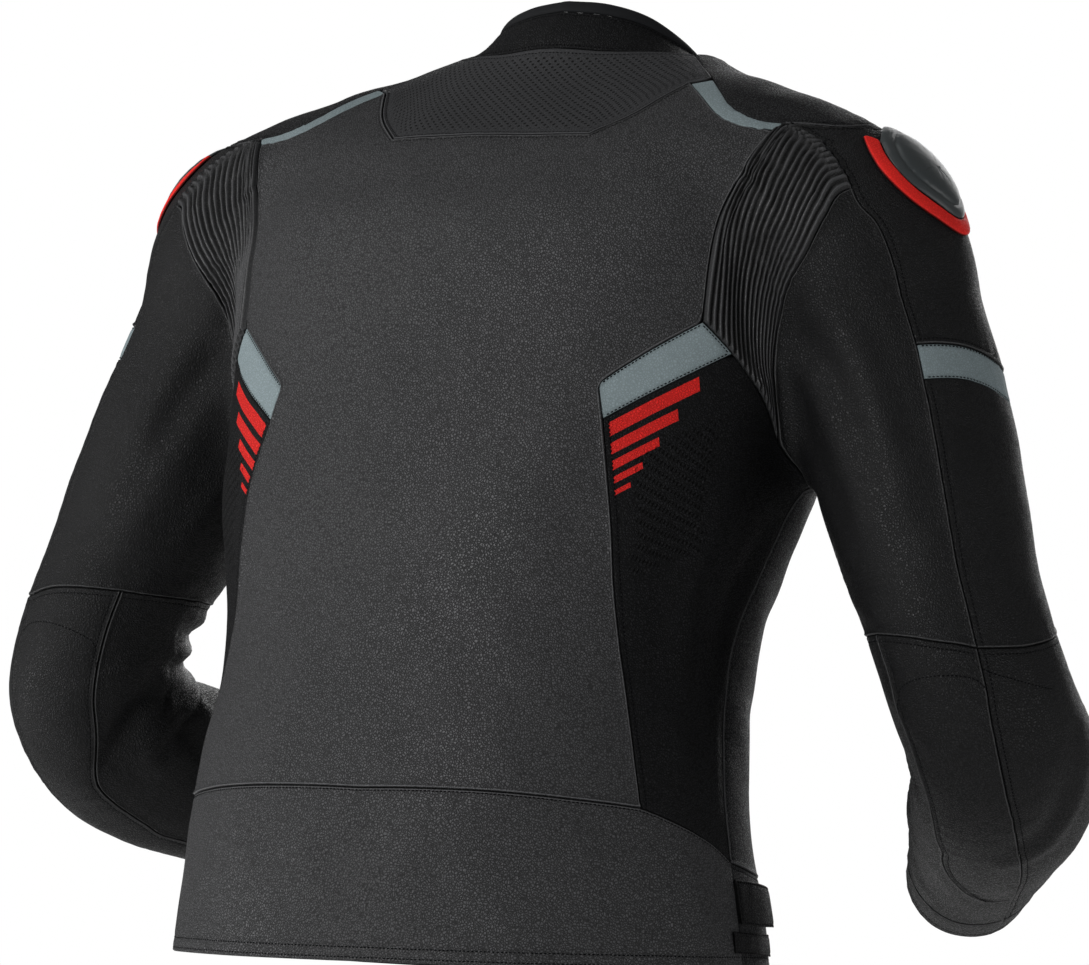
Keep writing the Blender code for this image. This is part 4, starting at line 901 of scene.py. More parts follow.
# ---- Stretch panels --------------------------------------------------------
# Leather sewn over elastic in sixteen lengthways ribs over each shoulder blade,
# so that the arms can reach forward.  The arm's weight folds it in at the middle.
RIBS = 16
RIB_HEIGHT = 0.0033
RIB_START = 0.0014        # how far in from the seams the ribs reach their height
RIB_CREST, RIB_SHADE = 0.18, 0.36     # from a rib's middle: where the painted shade of its valley begins, and over how much more it deepens to full
rib_leather = leather("rib_leather", (0.0320, 0.0325, 0.0350), 0.26, 0.15, shine=0.55, rub_highlight=0.01)
ribs_top = seam([
    (0.2050, 0.1184, -0.0597), (0.2288, 0.1218, -0.0696), (0.2423, 0.1265, -0.0792),
    (0.2565, 0.1329, -0.0947), (0.2641, 0.1362, -0.1060)
], 5)
ribs_outer = seam([
    (0.2641, 0.1362, -0.1060), (0.2555, 0.1435, -0.1113), (0.2479, 0.1513, -0.1275),
    (0.2373, 0.1547, -0.1468), (0.2270, 0.1531, -0.1627), (0.2197, 0.1504, -0.1755),
    (0.2158, 0.1486, -0.1883), (0.2125, 0.1465, -0.2077), (0.2105, 0.1430, -0.2350),
    (0.2108, 0.1349, -0.2756)
], 8)
flash_outer = seam([(0.1749, 0.1750, -0.1961), (0.1902, 0.1638, -0.2168)], 2)
ribs_low = seam([
    (0.1902, 0.1638, -0.2168), (0.2030, 0.1492, -0.2413), (0.2082, 0.1424, -0.2562),
    (0.2108, 0.1349, -0.2756)
], 4)
ribs = patch(join(ribs_top_end, ribs_top), join(flash_outer, ribs_low), ribs_inner, ribs_outer)


def rib_rows(u, v, inmost):
    """Round ribs side by side, lower towards the hollow under the arm, with painted shade in the valleys
    between them.
    """
    x = np.abs(2 * ((u * RIBS) % 1.0) - 1)
    low = 1 - 0.55 * np.clip((u - 0.55) / 0.45, 0, 1) * v
    fade = np.clip(inmost / RIB_START, 0, 1)
    # the second value is the painted shade in the valleys between the ribs
    return RIB_HEIGHT * low * fade * (1 - x**1.5), np.clip((x - RIB_CREST) / RIB_SHADE, 0, 1) * fade


ARM_HOLLOW = {
    "right": folds_on([
        ((0.203, 0.150, -0.140), (0.199, 0.158, -0.180), (0.204, 0.148, -0.235), 0.015, -0.0085),
        ((0.236, 0.140, -0.095), (0.222, 0.150, -0.130), (0.216, 0.150, -0.170), 0.012, -0.0018),
    ]),
    "left": folds_on([
        ((0.212, 0.148, -0.150), (0.208, 0.153, -0.190), (0.208, 0.145, -0.245), 0.015, -0.0048),
        ((0.240, 0.140, -0.100), (0.226, 0.150, -0.140), (0.218, 0.150, -0.180), 0.013, 0.0014),
    ]),
}
for side, mirror in BOTH:
    cloth("stretch_panel_" + side, ribs, rib_leather, mirror, 0.0036, across_count=RIBS * 9,
          raised=rib_rows, folds=ARM_HOLLOW[side], gathers=0.0001, even=True)

# ---- Side flashes ----------------------------------------------------------
# A bent bar of grey leather under each stretch panel, bound in black and sewn
# all round with dark thread.
flash_low = seam([
    (0.1271, 0.2232, -0.2584), (0.1524, 0.2050, -0.2423), (0.1765, 0.1819, -0.2267),
    (0.1902, 0.1638, -0.2168)
], 4)
flash = patch(flip(flash_high), flash_low, flash_inner, flash_outer)
for side, mirror in BOTH:
    cloth("side_flash_" + side, flash, grey_leather, mirror, 0.0030, slot="grey_leather",
          edges={"top": (0.0, (3,)), "bottom": (0.0, (3,)), "right": (0.0, (3,))},
          rests_on=["side_panel_%s_cloth" % side])

# ---- Side panels -----------------------------------------------------------
# Each side is one hide from the armhole to the waist seam.  Under the flash it is
# printed with red slanting bars, and a band beside the back seam is punched for air.
WAIST_SIDE = [(0.1739, 0.2502, -0.5069), (0.1859, 0.2298, -0.5158), (0.1927, 0.2115, -0.5241),
              (0.1964, 0.1942, -0.5325), (0.1990, 0.1746, -0.5449)]
# the print's own ruler: a corner of the flash, the way along its lower edge, the way square to that
PRINT_CORNER = (0.1271, 0.2232, -0.2584)
PRINT_ALONG = (0.656, -0.617, 0.432)
PRINT_DOWN = (0.507, -0.0615, -0.860)
PRINT_SLANT = 0.433       # the bars' ends run with the seam
# each bar's length, its start and its end down from the flash
PRINT_BARS = [(0.066, 0.0045, 0.0130), (0.049, 0.0172, 0.0242), (0.034, 0.0282, 0.0338),
              (0.021, 0.0378, 0.0420), (0.0115, 0.0460, 0.0490)]
PRINT_INSET = 0.0045
PRINT_RED = (0.80, 0.022, 0.018, 1.0)


def red_bars(tree, place, under, relief):
    """The printed bars, the same on both sides of the jacket; the red is painted darker in the grain's
    creases, as shade.
    """
    apart = node(tree, "SeparateXYZ", {0: place}).outputs
    aside = number(tree, "ABSOLUTE", apart[0])
    both = node(tree, "CombineXYZ", {0: aside, 1: apart[1], 2: apart[2]}).outputs[0]
    here = node(tree, "VectorMath", {0: both, 1: PRINT_CORNER}, operation="SUBTRACT").outputs[0]
    a = node(tree, "VectorMath", {0: here, 1: PRINT_ALONG}, operation="DOT_PRODUCT").outputs[1]
    d = node(tree, "VectorMath", {0: here, 1: PRINT_DOWN}, operation="DOT_PRODUCT").outputs[1]
    lean = number(tree, "MULTIPLY_ADD", d, PRINT_SLANT)
    tree.links.new(a, lean.node.inputs[2])
    mask = 0.0
    for length, high, low in PRINT_BARS:
        ends = number(tree, "COMPARE", lean, PRINT_INSET + length / 2)
        sides = number(tree, "COMPARE", d, (high + low) / 2)
        ends.node.inputs[2].default_value = length / 2
        sides.node.inputs[2].default_value = (low - high) / 2
        mask = number(tree, "MAXIMUM", number(tree, "MULTIPLY", ends, sides), mask)
    # painted shade: the red darker in the creases of the grain
    ink = share(tree, relief, tone(PRINT_RED, 0.62), PRINT_RED)
    return share(tree, mask, under, ink)


# the sides' black cowhide, painted near black as shade, darker than the back's lit copy; the hip tabs,
# straps and collar use it too
shaded_side_leather = leather("shaded_side_leather", (0.0090, 0.0093, 0.0105), 0.38, holes=True, design=red_bars,
                       shine=0.14, rub_highlight=0.060)
armhole_under = seam([(0.2155, 0.0930, -0.3000), (0.2140, 0.1170, -0.2930), (0.2108, 0.1349, -0.2756)], 2)
waist_side = seam(WAIST_SIDE, 10)
side_front = seam([
    (0.2155, 0.0930, -0.3000), (0.2010, 0.1230, -0.3500), (0.1880, 0.1500, -0.4100),
    (0.1890, 0.1700, -0.4800), (0.1990, 0.1746, -0.5449)
], 8)
side_cut = patch(join(flash_low, ribs_low, flip(armhole_under)), waist_side, side_back, side_front)
SIDE_FOLDS = {
    "right": folds_on([
        ((0.196, 0.165, -0.300), (0.186, 0.195, -0.370), (0.184, 0.205, -0.440), 0.013, 0.0030),
        ((0.172, 0.200, -0.300), (0.168, 0.214, -0.370), (0.172, 0.225, -0.430), 0.014, -0.0024),
        ((0.196, 0.150, -0.400), (0.194, 0.178, -0.460), (0.197, 0.185, -0.520), 0.010, 0.0026),
        ((0.205, 0.125, -0.320), (0.192, 0.158, -0.380), (0.190, 0.170, -0.440), 0.011, -0.0030),
        ((0.188, 0.215, -0.440), (0.188, 0.215, -0.480), (0.188, 0.222, -0.510), 0.011, 0.0018),
    ]),
    "left": folds_on([
        ((0.190, 0.175, -0.290), (0.180, 0.205, -0.360), (0.182, 0.212, -0.450), 0.015, 0.0028),
        ((0.200, 0.145, -0.340), (0.190, 0.175, -0.400), (0.192, 0.185, -0.470), 0.011, -0.0028),
        ((0.205, 0.125, -0.330), (0.194, 0.150, -0.390), (0.193, 0.165, -0.460), 0.010, 0.0022),
    ]),
}
AIR_BAND = (0.10, 0.46, 0.14, 0.42)     # across from, to, down from, to


def air_holes(u, v, inmost):
    """Only the band is punched."""
    left, right, top, bottom = AIR_BAND
    return ((u > left) & (u < right) & (v > top) & (v < bottom)).astype(float)


for side, mirror in BOTH:
    cloth("side_panel_" + side, side_cut, shaded_side_leather, mirror, 0.0040, folds=SIDE_FOLDS[side],
          gathers=0.0003, holes=air_holes, edges={"left": (0.0, NEAR), "top": (0.0, ())})

# ---- Fronts ----------------------------------------------------------------
# Two plain fronts meet at the zip.  Each edge along the zip is turned and sewn twice.
ARMHOLE_TOP = [(0.2050, 0.1184, -0.0597), (0.2240, 0.1110, -0.0610), (0.2420, 0.0960, -0.0660),
               (0.2450, 0.0680, -0.0690), (0.2380, 0.0380, -0.0820), (0.2290, 0.0140, -0.1080),
               (0.2200, -0.0010, -0.1400)]
WAIST_FRONT = [(0.1990, 0.1746, -0.5449), (0.1930, 0.1250, -0.5560), (0.1600, 0.0800, -0.5640),
               (0.0900, 0.0520, -0.5700), (FRONT_EDGE, 0.0480, -0.5720)]
front_leather = leather("front_leather", (0.0300, 0.0305, 0.0330), 0.40)
neck_front = seam([
    (0.0910, 0.0330, -0.0115), (0.0890, 0.0020, -0.0230), (0.0700, -0.0330, -0.0480),
    (0.0360, -0.0540, -0.0680), (FRONT_EDGE, -0.0580, -0.0750)
], 4)
front_middle = seam([
    (FRONT_EDGE, -0.0580, -0.0750), (FRONT_EDGE, -0.0680, -0.1600), (FRONT_EDGE, -0.0500, -0.2500),
    (FRONT_EDGE, 0.0000, -0.3600), (FRONT_EDGE, 0.0350, -0.4700), (FRONT_EDGE, 0.0480, -0.5720)
], 20)
armhole_top = seam(ARMHOLE_TOP, 7)
armhole_low = seam([
    (0.2200, -0.0010, -0.1400), (0.2120, -0.0060, -0.1850), (0.2070, 0.0070, -0.2350),
    (0.2100, 0.0430, -0.2780), (0.2155, 0.0930, -0.3000)
], 5)
waist_front = seam(WAIST_FRONT, 10)
front = patch(join(flip(neck_front), neck_to_strip, strip_high), flip(waist_front), front_middle,
              join(armhole_top, armhole_low, side_front))
FRONT_FOLDS = {
    "right": folds_on([
        ((0.200, -0.010, -0.200), (0.160, -0.050, -0.230), (0.110, -0.050, -0.280), 0.018, 0.0028),
        ((0.195, 0.020, -0.270), (0.150, -0.020, -0.310), (0.090, -0.020, -0.340), 0.016, -0.0024),
        ((0.190, 0.080, -0.360), (0.150, 0.040, -0.390), (0.090, 0.010, -0.400), 0.014, 0.0024),
        ((0.185, 0.120, -0.440), (0.140, 0.060, -0.470), (0.080, 0.040, -0.480), 0.013, -0.0022),
        ((0.170, 0.080, -0.510), (0.120, 0.050, -0.520), (0.060, 0.040, -0.515), 0.012, 0.0020),
    ]),
    "left": folds_on([
        ((0.205, -0.010, -0.180), (0.170, -0.050, -0.220), (0.120, -0.060, -0.240), 0.019, 0.0026),
        ((0.195, 0.010, -0.250), (0.160, -0.030, -0.300), (0.100, -0.030, -0.320), 0.015, 0.0022),
        ((0.190, 0.090, -0.380), (0.140, 0.030, -0.410), (0.090, 0.020, -0.430), 0.014, -0.0024),
        ((0.185, 0.110, -0.470), (0.150, 0.070, -0.490), (0.100, 0.045, -0.500), 0.012, 0.0022),
    ]),
}
for side, mirror in BOTH:
    cloth("front_panel_" + side, front, front_leather, mirror, 0.0050, folds=FRONT_FOLDS[side],
          edges={"left": (0.0004, TWIN), "right": (0.0003, NEAR), "bottom": (0.0007, ())}, gathers=0.0003)

# ---- Waistband -------------------------------------------------------------
# A deep band round the waist, sewn under the rolled edge of the body and sewn
# twice along the hem.
HEM_BACK = [(0.0000, 0.3220, -0.6070), (0.0900, 0.3140, -0.6075), (0.1600, 0.2800, -0.6090),
            (0.1880, 0.2500, -0.6105)]
HEM_SIDE = [(0.1880, 0.2500, -0.6105), (0.2030, 0.2200, -0.6125), (0.2080, 0.1760, -0.6150)]
HEM_FRONT = [(0.2080, 0.1760, -0.6150), (0.1990, 0.1200, -0.6200), (0.1600, 0.0760, -0.6270),
             (0.0900, 0.0520, -0.6310), (FRONT_EDGE, 0.0480, -0.6330)]
hem_back = seam(HEM_BACK, 7)
hem_side = seam(HEM_SIDE, 10)
hem_front = seam(HEM_FRONT, 10)
band_middle = seam([WAIST_BACK[0], HEM_BACK[0]], 3)
band_end = seam([WAIST_SIDE[-1], HEM_SIDE[-1]], 3)
band_edge = seam([WAIST_FRONT[-1], HEM_FRONT[-1]], 3)
band = patch(join(waist_back, waist_side), join(hem_back, hem_side), band_middle, band_end)
BAND_FOLDS = folds_on([
    ((-0.150, 0.285, -0.515), (-0.158, 0.285, -0.545), (-0.156, 0.290, -0.590), 0.015, 0.0014),
    ((-0.060, 0.318, -0.510), (-0.056, 0.320, -0.540), (-0.066, 0.320, -0.575), 0.017, -0.0011),
    ((0.030, 0.320, -0.505), (0.040, 0.322, -0.540), (0.036, 0.322, -0.590), 0.018, 0.0012),
    ((0.120, 0.300, -0.520), (0.128, 0.300, -0.550), (0.130, 0.300, -0.595), 0.014, -0.0012),
    ((-0.196, 0.225, -0.520), (-0.199, 0.222, -0.560), (-0.202, 0.215, -0.600), 0.012, 0.0020),
    ((0.196, 0.225, -0.525), (0.199, 0.218, -0.565), (0.202, 0.210, -0.600), 0.012, 0.0018),
])
cloth("waistband_back", both_halves(band), lit_back_leather, step=0.0044, folds=BAND_FOLDS,
      edges={"top": (0.0006, (3,)), "bottom": (0.0, (4, 7))}, gathers=0.0003)
front_band = patch(waist_front, hem_front, band_end, band_edge)
for side, mirror in BOTH:
    cloth("waistband_front_" + side, front_band, front_leather, mirror, 0.0046, gathers=0.0003,
          edges={"top": (0.0, (4,)), "bottom": (0.0, (4, 7)), "right": (0.0004, TWIN)})

# ---- Hip adjusters ---------------------------------------------------------
# A leather tab on each side of the waistband, with a narrower strap below it, both
# of thick leather and sewn along their edges.
HIP_TAB_TOP = [(0.2000, 0.1760, -0.5560), (0.2000, 0.1500, -0.5590), (0.1960, 0.1180, -0.5640)]
HIP_TAB_LOW = [(0.2040, 0.1760, -0.5850), (0.2040, 0.1500, -0.5880), (0.2000, 0.1180, -0.5900)]
HIP_STRAP_TOP = [(0.2040, 0.1860, -0.5890), (0.2060, 0.1550, -0.5920), (0.2020, 0.1200, -0.5940)]
HIP_STRAP_LOW = [(0.2060, 0.1860, -0.6030), (0.2070, 0.1550, -0.6060), (0.2020, 0.1200, -0.6090)]
LIFT = 0.0005
TAB_THICK, STRAP_THICK = 0.0026, 0.0016
TAB_RISE = 0.0030


def lying_net(top, low, rows, cols):
    """A flat piece lying on the form between an upper and a lower line."""
    top = settle(along(smooth_rows(top, 40), cols))
    low = settle(along(smooth_rows(low, 40), cols))
    v = np.linspace(0, 1, rows + 1)[:, None, None]
    net = settle((top[None] * (1 - v) + low[None] * v).reshape(-1, 3))
    return finer(np.hstack([net, outward(net)]).reshape(rows + 1, cols + 1, 6))


def tab_lift(u, v, inmost):
    """The tab stands off the band more and more towards the front."""
    return TAB_RISE * u, 0 * u


tab = lying_net(HIP_TAB_TOP, HIP_TAB_LOW, 3, 8)
strap = lying_net(HIP_STRAP_TOP, HIP_STRAP_LOW, 2, 8)
for side, mirror in BOTH:
    for name, net, thick, sewn_at, more in (
            ("hip_strap_", strap, STRAP_THICK, ("top", "bottom"), {}),
            ("hip_tab_", tab, TAB_THICK, SIDES, {"raised": tab_lift})):
        cloth(name + side, net, shaded_side_leather, mirror, 0.0030, lift=LIFT + thick, thick=thick, roll=0.4,
              edges={k: (0.0, (3,)) for k in sewn_at}, rests_on=["waistband_back_cloth"], **more)

# ---- Collar ----------------------------------------------------------------
# A low stand of leather with a rim of soft black neoprene folded over its top
# edge, sewn on with one row.
COLLAR_RIM = [(0.0000, 0.0460, 0.0260), (0.0300, 0.0410, 0.0220), (0.0550, 0.0260, 0.0130),
              (0.0690, 0.0020, -0.0040), (0.0620, -0.0260, -0.0180), (0.0360, -0.0450, -0.0300),
              (FRONT_EDGE, -0.0510, -0.0360)]
COLLAR_TRIM_FROM = 0.78
COLLAR_ROWS = 50
neck = join(neck_back, neck_front)
rim = along(smooth_rows(COLLAR_RIM, 200), len(neck) - 1)
heights = np.linspace(0, 1, COLLAR_ROWS + 1)[:, None, None]
stand = neck[None, :, :3] * (1 - heights) + rim[None] * heights
away = unit((stand + np.array([0.0, 0.0, 0.02])) * np.array([1.0, 1.0, 0.0]))
stand = stand + away * (0.0030 * np.sin(np.pi * heights))
whole = both_halves(np.concatenate([stand, away], axis=2))
whole[..., 3:] = square_out(whole[..., :3], whole[..., 3:])
trim_row = round(COLLAR_TRIM_FROM * COLLAR_ROWS)
cloth("collar", whole[:trim_row + 1], shaded_side_leather, step=0.0040,
      edges={"bottom": (0.0, NEAR), "top": (0.0, (4,))}, gathers=0.0002)
RIM_STANDS = 0.0014
neoprene = woven("black_neoprene", (0.013, 0.014, 0.016), 520.0, 0.8, 0.35)


def rim_round(u, v, inmost):
    """The rim is thickest along its middle and round at its top edge."""
    return RIM_STANDS * np.sqrt(np.clip(1 - (2 * v - 1)**2, 0, 1)), 0 * v


cloth("collar_trim", whole[trim_row:], neoprene, step=0.0034, thick=0.0030, lift=0.0004,
      raised=rim_round, slot="collar_soft_trim", gathers=0.0001)

# ---- Sleeves ---------------------------------------------------------------
# Pre-bent sleeves of seven pieces: head, grey band, outer and under piece, an
# elbow piece, and two forearm pieces that end in a plain cuff.  A rolled seam
# runs down the back.  The left sleeve's cross seams sit a little higher.
LEFT_SLEEVE_PULL = 0.022
SLEEVE_CUFF_SEAM = 0.700
SLEEVE_END = 0.746
CUFF_RINGS = 8
BAND_WIDTH = 0.0245
LONG_UPPER = [(0.2641, 0.1362, -0.1060), (0.2714, 0.1379, -0.1179), (0.2827, 0.1345, -0.1296),
              (0.2926, 0.1326, -0.1503), (0.3007, 0.1316, -0.1762), (0.3115, 0.1344, -0.2053),
              (0.3192, 0.1390, -0.2317), (0.3248, 0.1423, -0.2472), (0.3331, 0.1488, -0.2729),
              (0.3450, 0.1583, -0.3111), (0.3557, 0.1656, -0.3492), (0.3647, 0.1695, -0.3745),
              (0.3727, 0.1713, -0.4016), (0.3790, 0.1700, -0.4313), (0.3807, 0.1649, -0.4567),
              (0.3790, 0.1440, -0.4994), (0.3695, 0.1087, -0.5318), (0.3480, 0.0580, -0.5560),
              (0.3215, 0.0086, -0.5719), (0.2920, -0.0430, -0.5860), (0.2617, -0.0927, -0.5980)]
# length along the sleeve, and angle round it: 0 at the back, 90 at the outer side
LONG_FRONT = [(0.170, 170.0), (0.240, 160.0), (0.320, 152.0), (0.400, 146.0), (0.470, 144.0),
              (0.600, 144.0), (0.700, 144.0)]
BAND_TOP = [(0.2080, 47.0), (0.2100, 70.0), (0.2150, 100.0), (0.2130, 130.0), (0.2080, 163.0)]
ELBOW_OUTER = [(0.4020, 36.0), (0.4070, 70.0), (0.4040, 110.0), (0.3900, 146.0)]
ELBOW_BACK = [(0.4020, 36.0), (0.3910, 10.0), (0.3770, -30.0)]
ELBOW_INNER = [(0.3770, -30.0), (0.3660, -75.0), (0.3640, -120.0), (0.3740, -170.0), (0.3900, -214.0)]
POCKET = [(0.3770, -30.0), (0.4330, -31.0), (0.4600, -27.0), (0.4900, -6.0), (0.5350, 20.0),
          (0.5850, 38.0), (0.6130, 57.0)]
POCKET_END = [(0.6130, 57.0), (0.6160, 78.0)]
CUFF_SEAM_OUTER = [(0.700, 87.0), (0.700, 115.0), (0.700, 144.0)]
CUFF_SEAM_INNER = [(0.700, 87.0), (0.700, 0.0), (0.700, -120.0), (0.700, -216.0)]
# the sleeves' black cowhide, painted near black as shade, darker than the back's lit copy
shaded_sleeve_leather = leather("shaded_sleeve_leather", (0.0060, 0.0063, 0.0074), 0.34, shine=0.26, rub_highlight=0.060)


def arm_spots(rows, steps=60):
    """Points of the sleeve from rows of length and angle."""
    rows = smooth_rows(rows, steps)
    s = np.clip(rows[:, 0], 0, ARM_LENGTH[-1])
    w = np.radians(rows[:, 1])[:, None]
    mid, aft, out = (np.column_stack([np.interp(s, ARM_LENGTH, table[:, k]) for k in range(3)])
                     for table in (ARM_MID, ARM_AFT, ARM_OUT))
    side = np.interp(s, ARM_LENGTH, ARM_FINE[:, 3])[:, None]
    fore = np.interp(s, ARM_LENGTH, ARM_FINE[:, 4])[:, None]
    r = 1 / np.sqrt((np.cos(w) / fore)**2 + (np.sin(w) / side)**2)
    return mid + r * (np.cos(w) * aft + np.sin(w) * out)


def measured(line):
    """A long line with the length run up to each of its points."""
    run = np.concatenate([[0], np.cumsum(np.linalg.norm(np.diff(line, axis=0), axis=1))])
    return line, run


long_line = measured(settle(smooth_rows(LONG_UPPER, 500)))
front_line = settle(np.vstack([settle(np.array([ARMHOLE_TOP[-1]])), arm_spots(LONG_FRONT, 300)]))
front_line = measured(settle(smooth_rows(along(front_line, 40), 400)))


def arm_point(spot, pull):
    """One point of the sleeve, moved up it."""
    return arm_spots([(spot[0] - pull, spot[1])] * 2, 2)[:1]


def nearest_run(long, spot, pull):
    """How far along a long line a point of the sleeve lies."""
    line, run = long
    return run[np.argmin(((line - arm_point(spot, pull))**2).sum(axis=1))]


def cuts(long, ends, counts):
    """A long line cut at those lengths, each part in its own number of pieces."""
    line, run = long
    parts = []
    for start, end, count in zip(ends, ends[1:], counts):
        at = np.linspace(start, end, count * FINE + 1)
        points = settle(np.column_stack([np.interp(at, run, line[:, k]) for k in range(3)]))
        parts.append(np.hstack([points, outward(points)]))
    return parts


def cross_seam(rows, pull, start, end, count):
    """A seam round the sleeve, fitted to its two end points."""
    line = settle(along(settle(arm_spots([(s - pull, w) for s, w in rows])), count * FINE))
    f = np.linspace(0, 1, len(line))[:, None]
    line = settle(line + (1 - f) * (start - line[0]) + f * (end - line[-1]))
    line[0], line[-1] = start, end
    return np.hstack([line, outward(line)])


# folds on each sleeve, in millimetres and degrees: three times length and angle, then width and height
SLEEVE_FOLDS = {
    "right": [
        (105, -20, 200, 8, 330, 14, 13, 3), (120, -55, 215, -22, 345, -6, 15, 3.4),
        (130, -38, 200, -10, 270, 0, 11, -2.6), (150, -80, 240, -50, 350, -34, 13, 3),
        (180, 20, 260, 30, 340, 30, 12, -1.6), (230, 60, 300, 66, 370, 72, 14, 1.6),
        (160, -120, 230, -100, 320, -80, 14, -2.8), (340, -60, 372, -20, 385, 18, 8, 2.2),
        (400, -48, 425, -20, 440, 10, 10, 2.2), (420, 40, 450, 62, 500, 74, 12, -2),
        (450, 90, 478, 70, 492, 44, 11, -3), (470, 100, 500, 70, 512, 40, 10, 2.6),
        (445, -62, 470, -40, 500, -22, 6, 3), (460, -70, 487, -46, 520, -24, 5, -2.8),
        (476, -76, 503, -50, 538, -22, 6, 3), (494, -80, 524, -50, 560, -20, 6, -2.6),
        (520, -70, 556, -34, 590, 0, 7, 2.6), (560, 10, 600, 30, 640, 50, 12, 1.8),
        (600, -60, 640, -20, 680, 20, 9, 2.2), (625, -80, 665, -40, 690, 0, 7, -2.2),
    ],
    "left": [
        (100, -30, 190, -6, 300, 2, 14, 3.2), (115, -66, 200, -36, 330, -20, 15, 3),
        (125, -48, 190, -22, 260, -12, 11, -3), (150, -95, 230, -66, 330, -50, 12, 2.6),
        (110, 5, 170, 18, 240, 24, 12, -1.8), (170, -130, 240, -110, 320, -92, 14, -2.6),
        (330, -80, 352, -40, 362, -6, 8, 2.4), (385, -70, 410, -40, 425, -5, 10, 2.6),
        (405, -84, 432, -56, 455, -28, 10, -8), (425, -92, 452, -62, 485, -36, 8, 4.5),
        (450, -98, 478, -70, 515, -44, 9, -6.2), (470, -100, 500, -76, 545, -50, 8, 3),
        (440, 20, 490, 36, 550, 46, 15, 2), (480, -20, 530, 0, 600, 16, 14, -2),
        (560, -80, 600, -40, 640, 0, 9, 2.2), (610, -70, 650, -30, 685, 10, 8, -2),
        (445, -70, 500, -88, 580, -96, 30, 18),
    ],
}
# short gathers round the bend of both elbows, in front and inside, bowed down the arm
BEND_BOW = 0.006
BEND_FOLDS = [(0.362, 0.0060, 0.0030), (0.376, 0.0055, -0.0034), (0.391, 0.0060, 0.0036),
              (0.406, 0.0055, -0.0036), (0.421, 0.0065, 0.0034), (0.438, 0.0060, -0.0030),
              (0.456, 0.0065, 0.0026)]


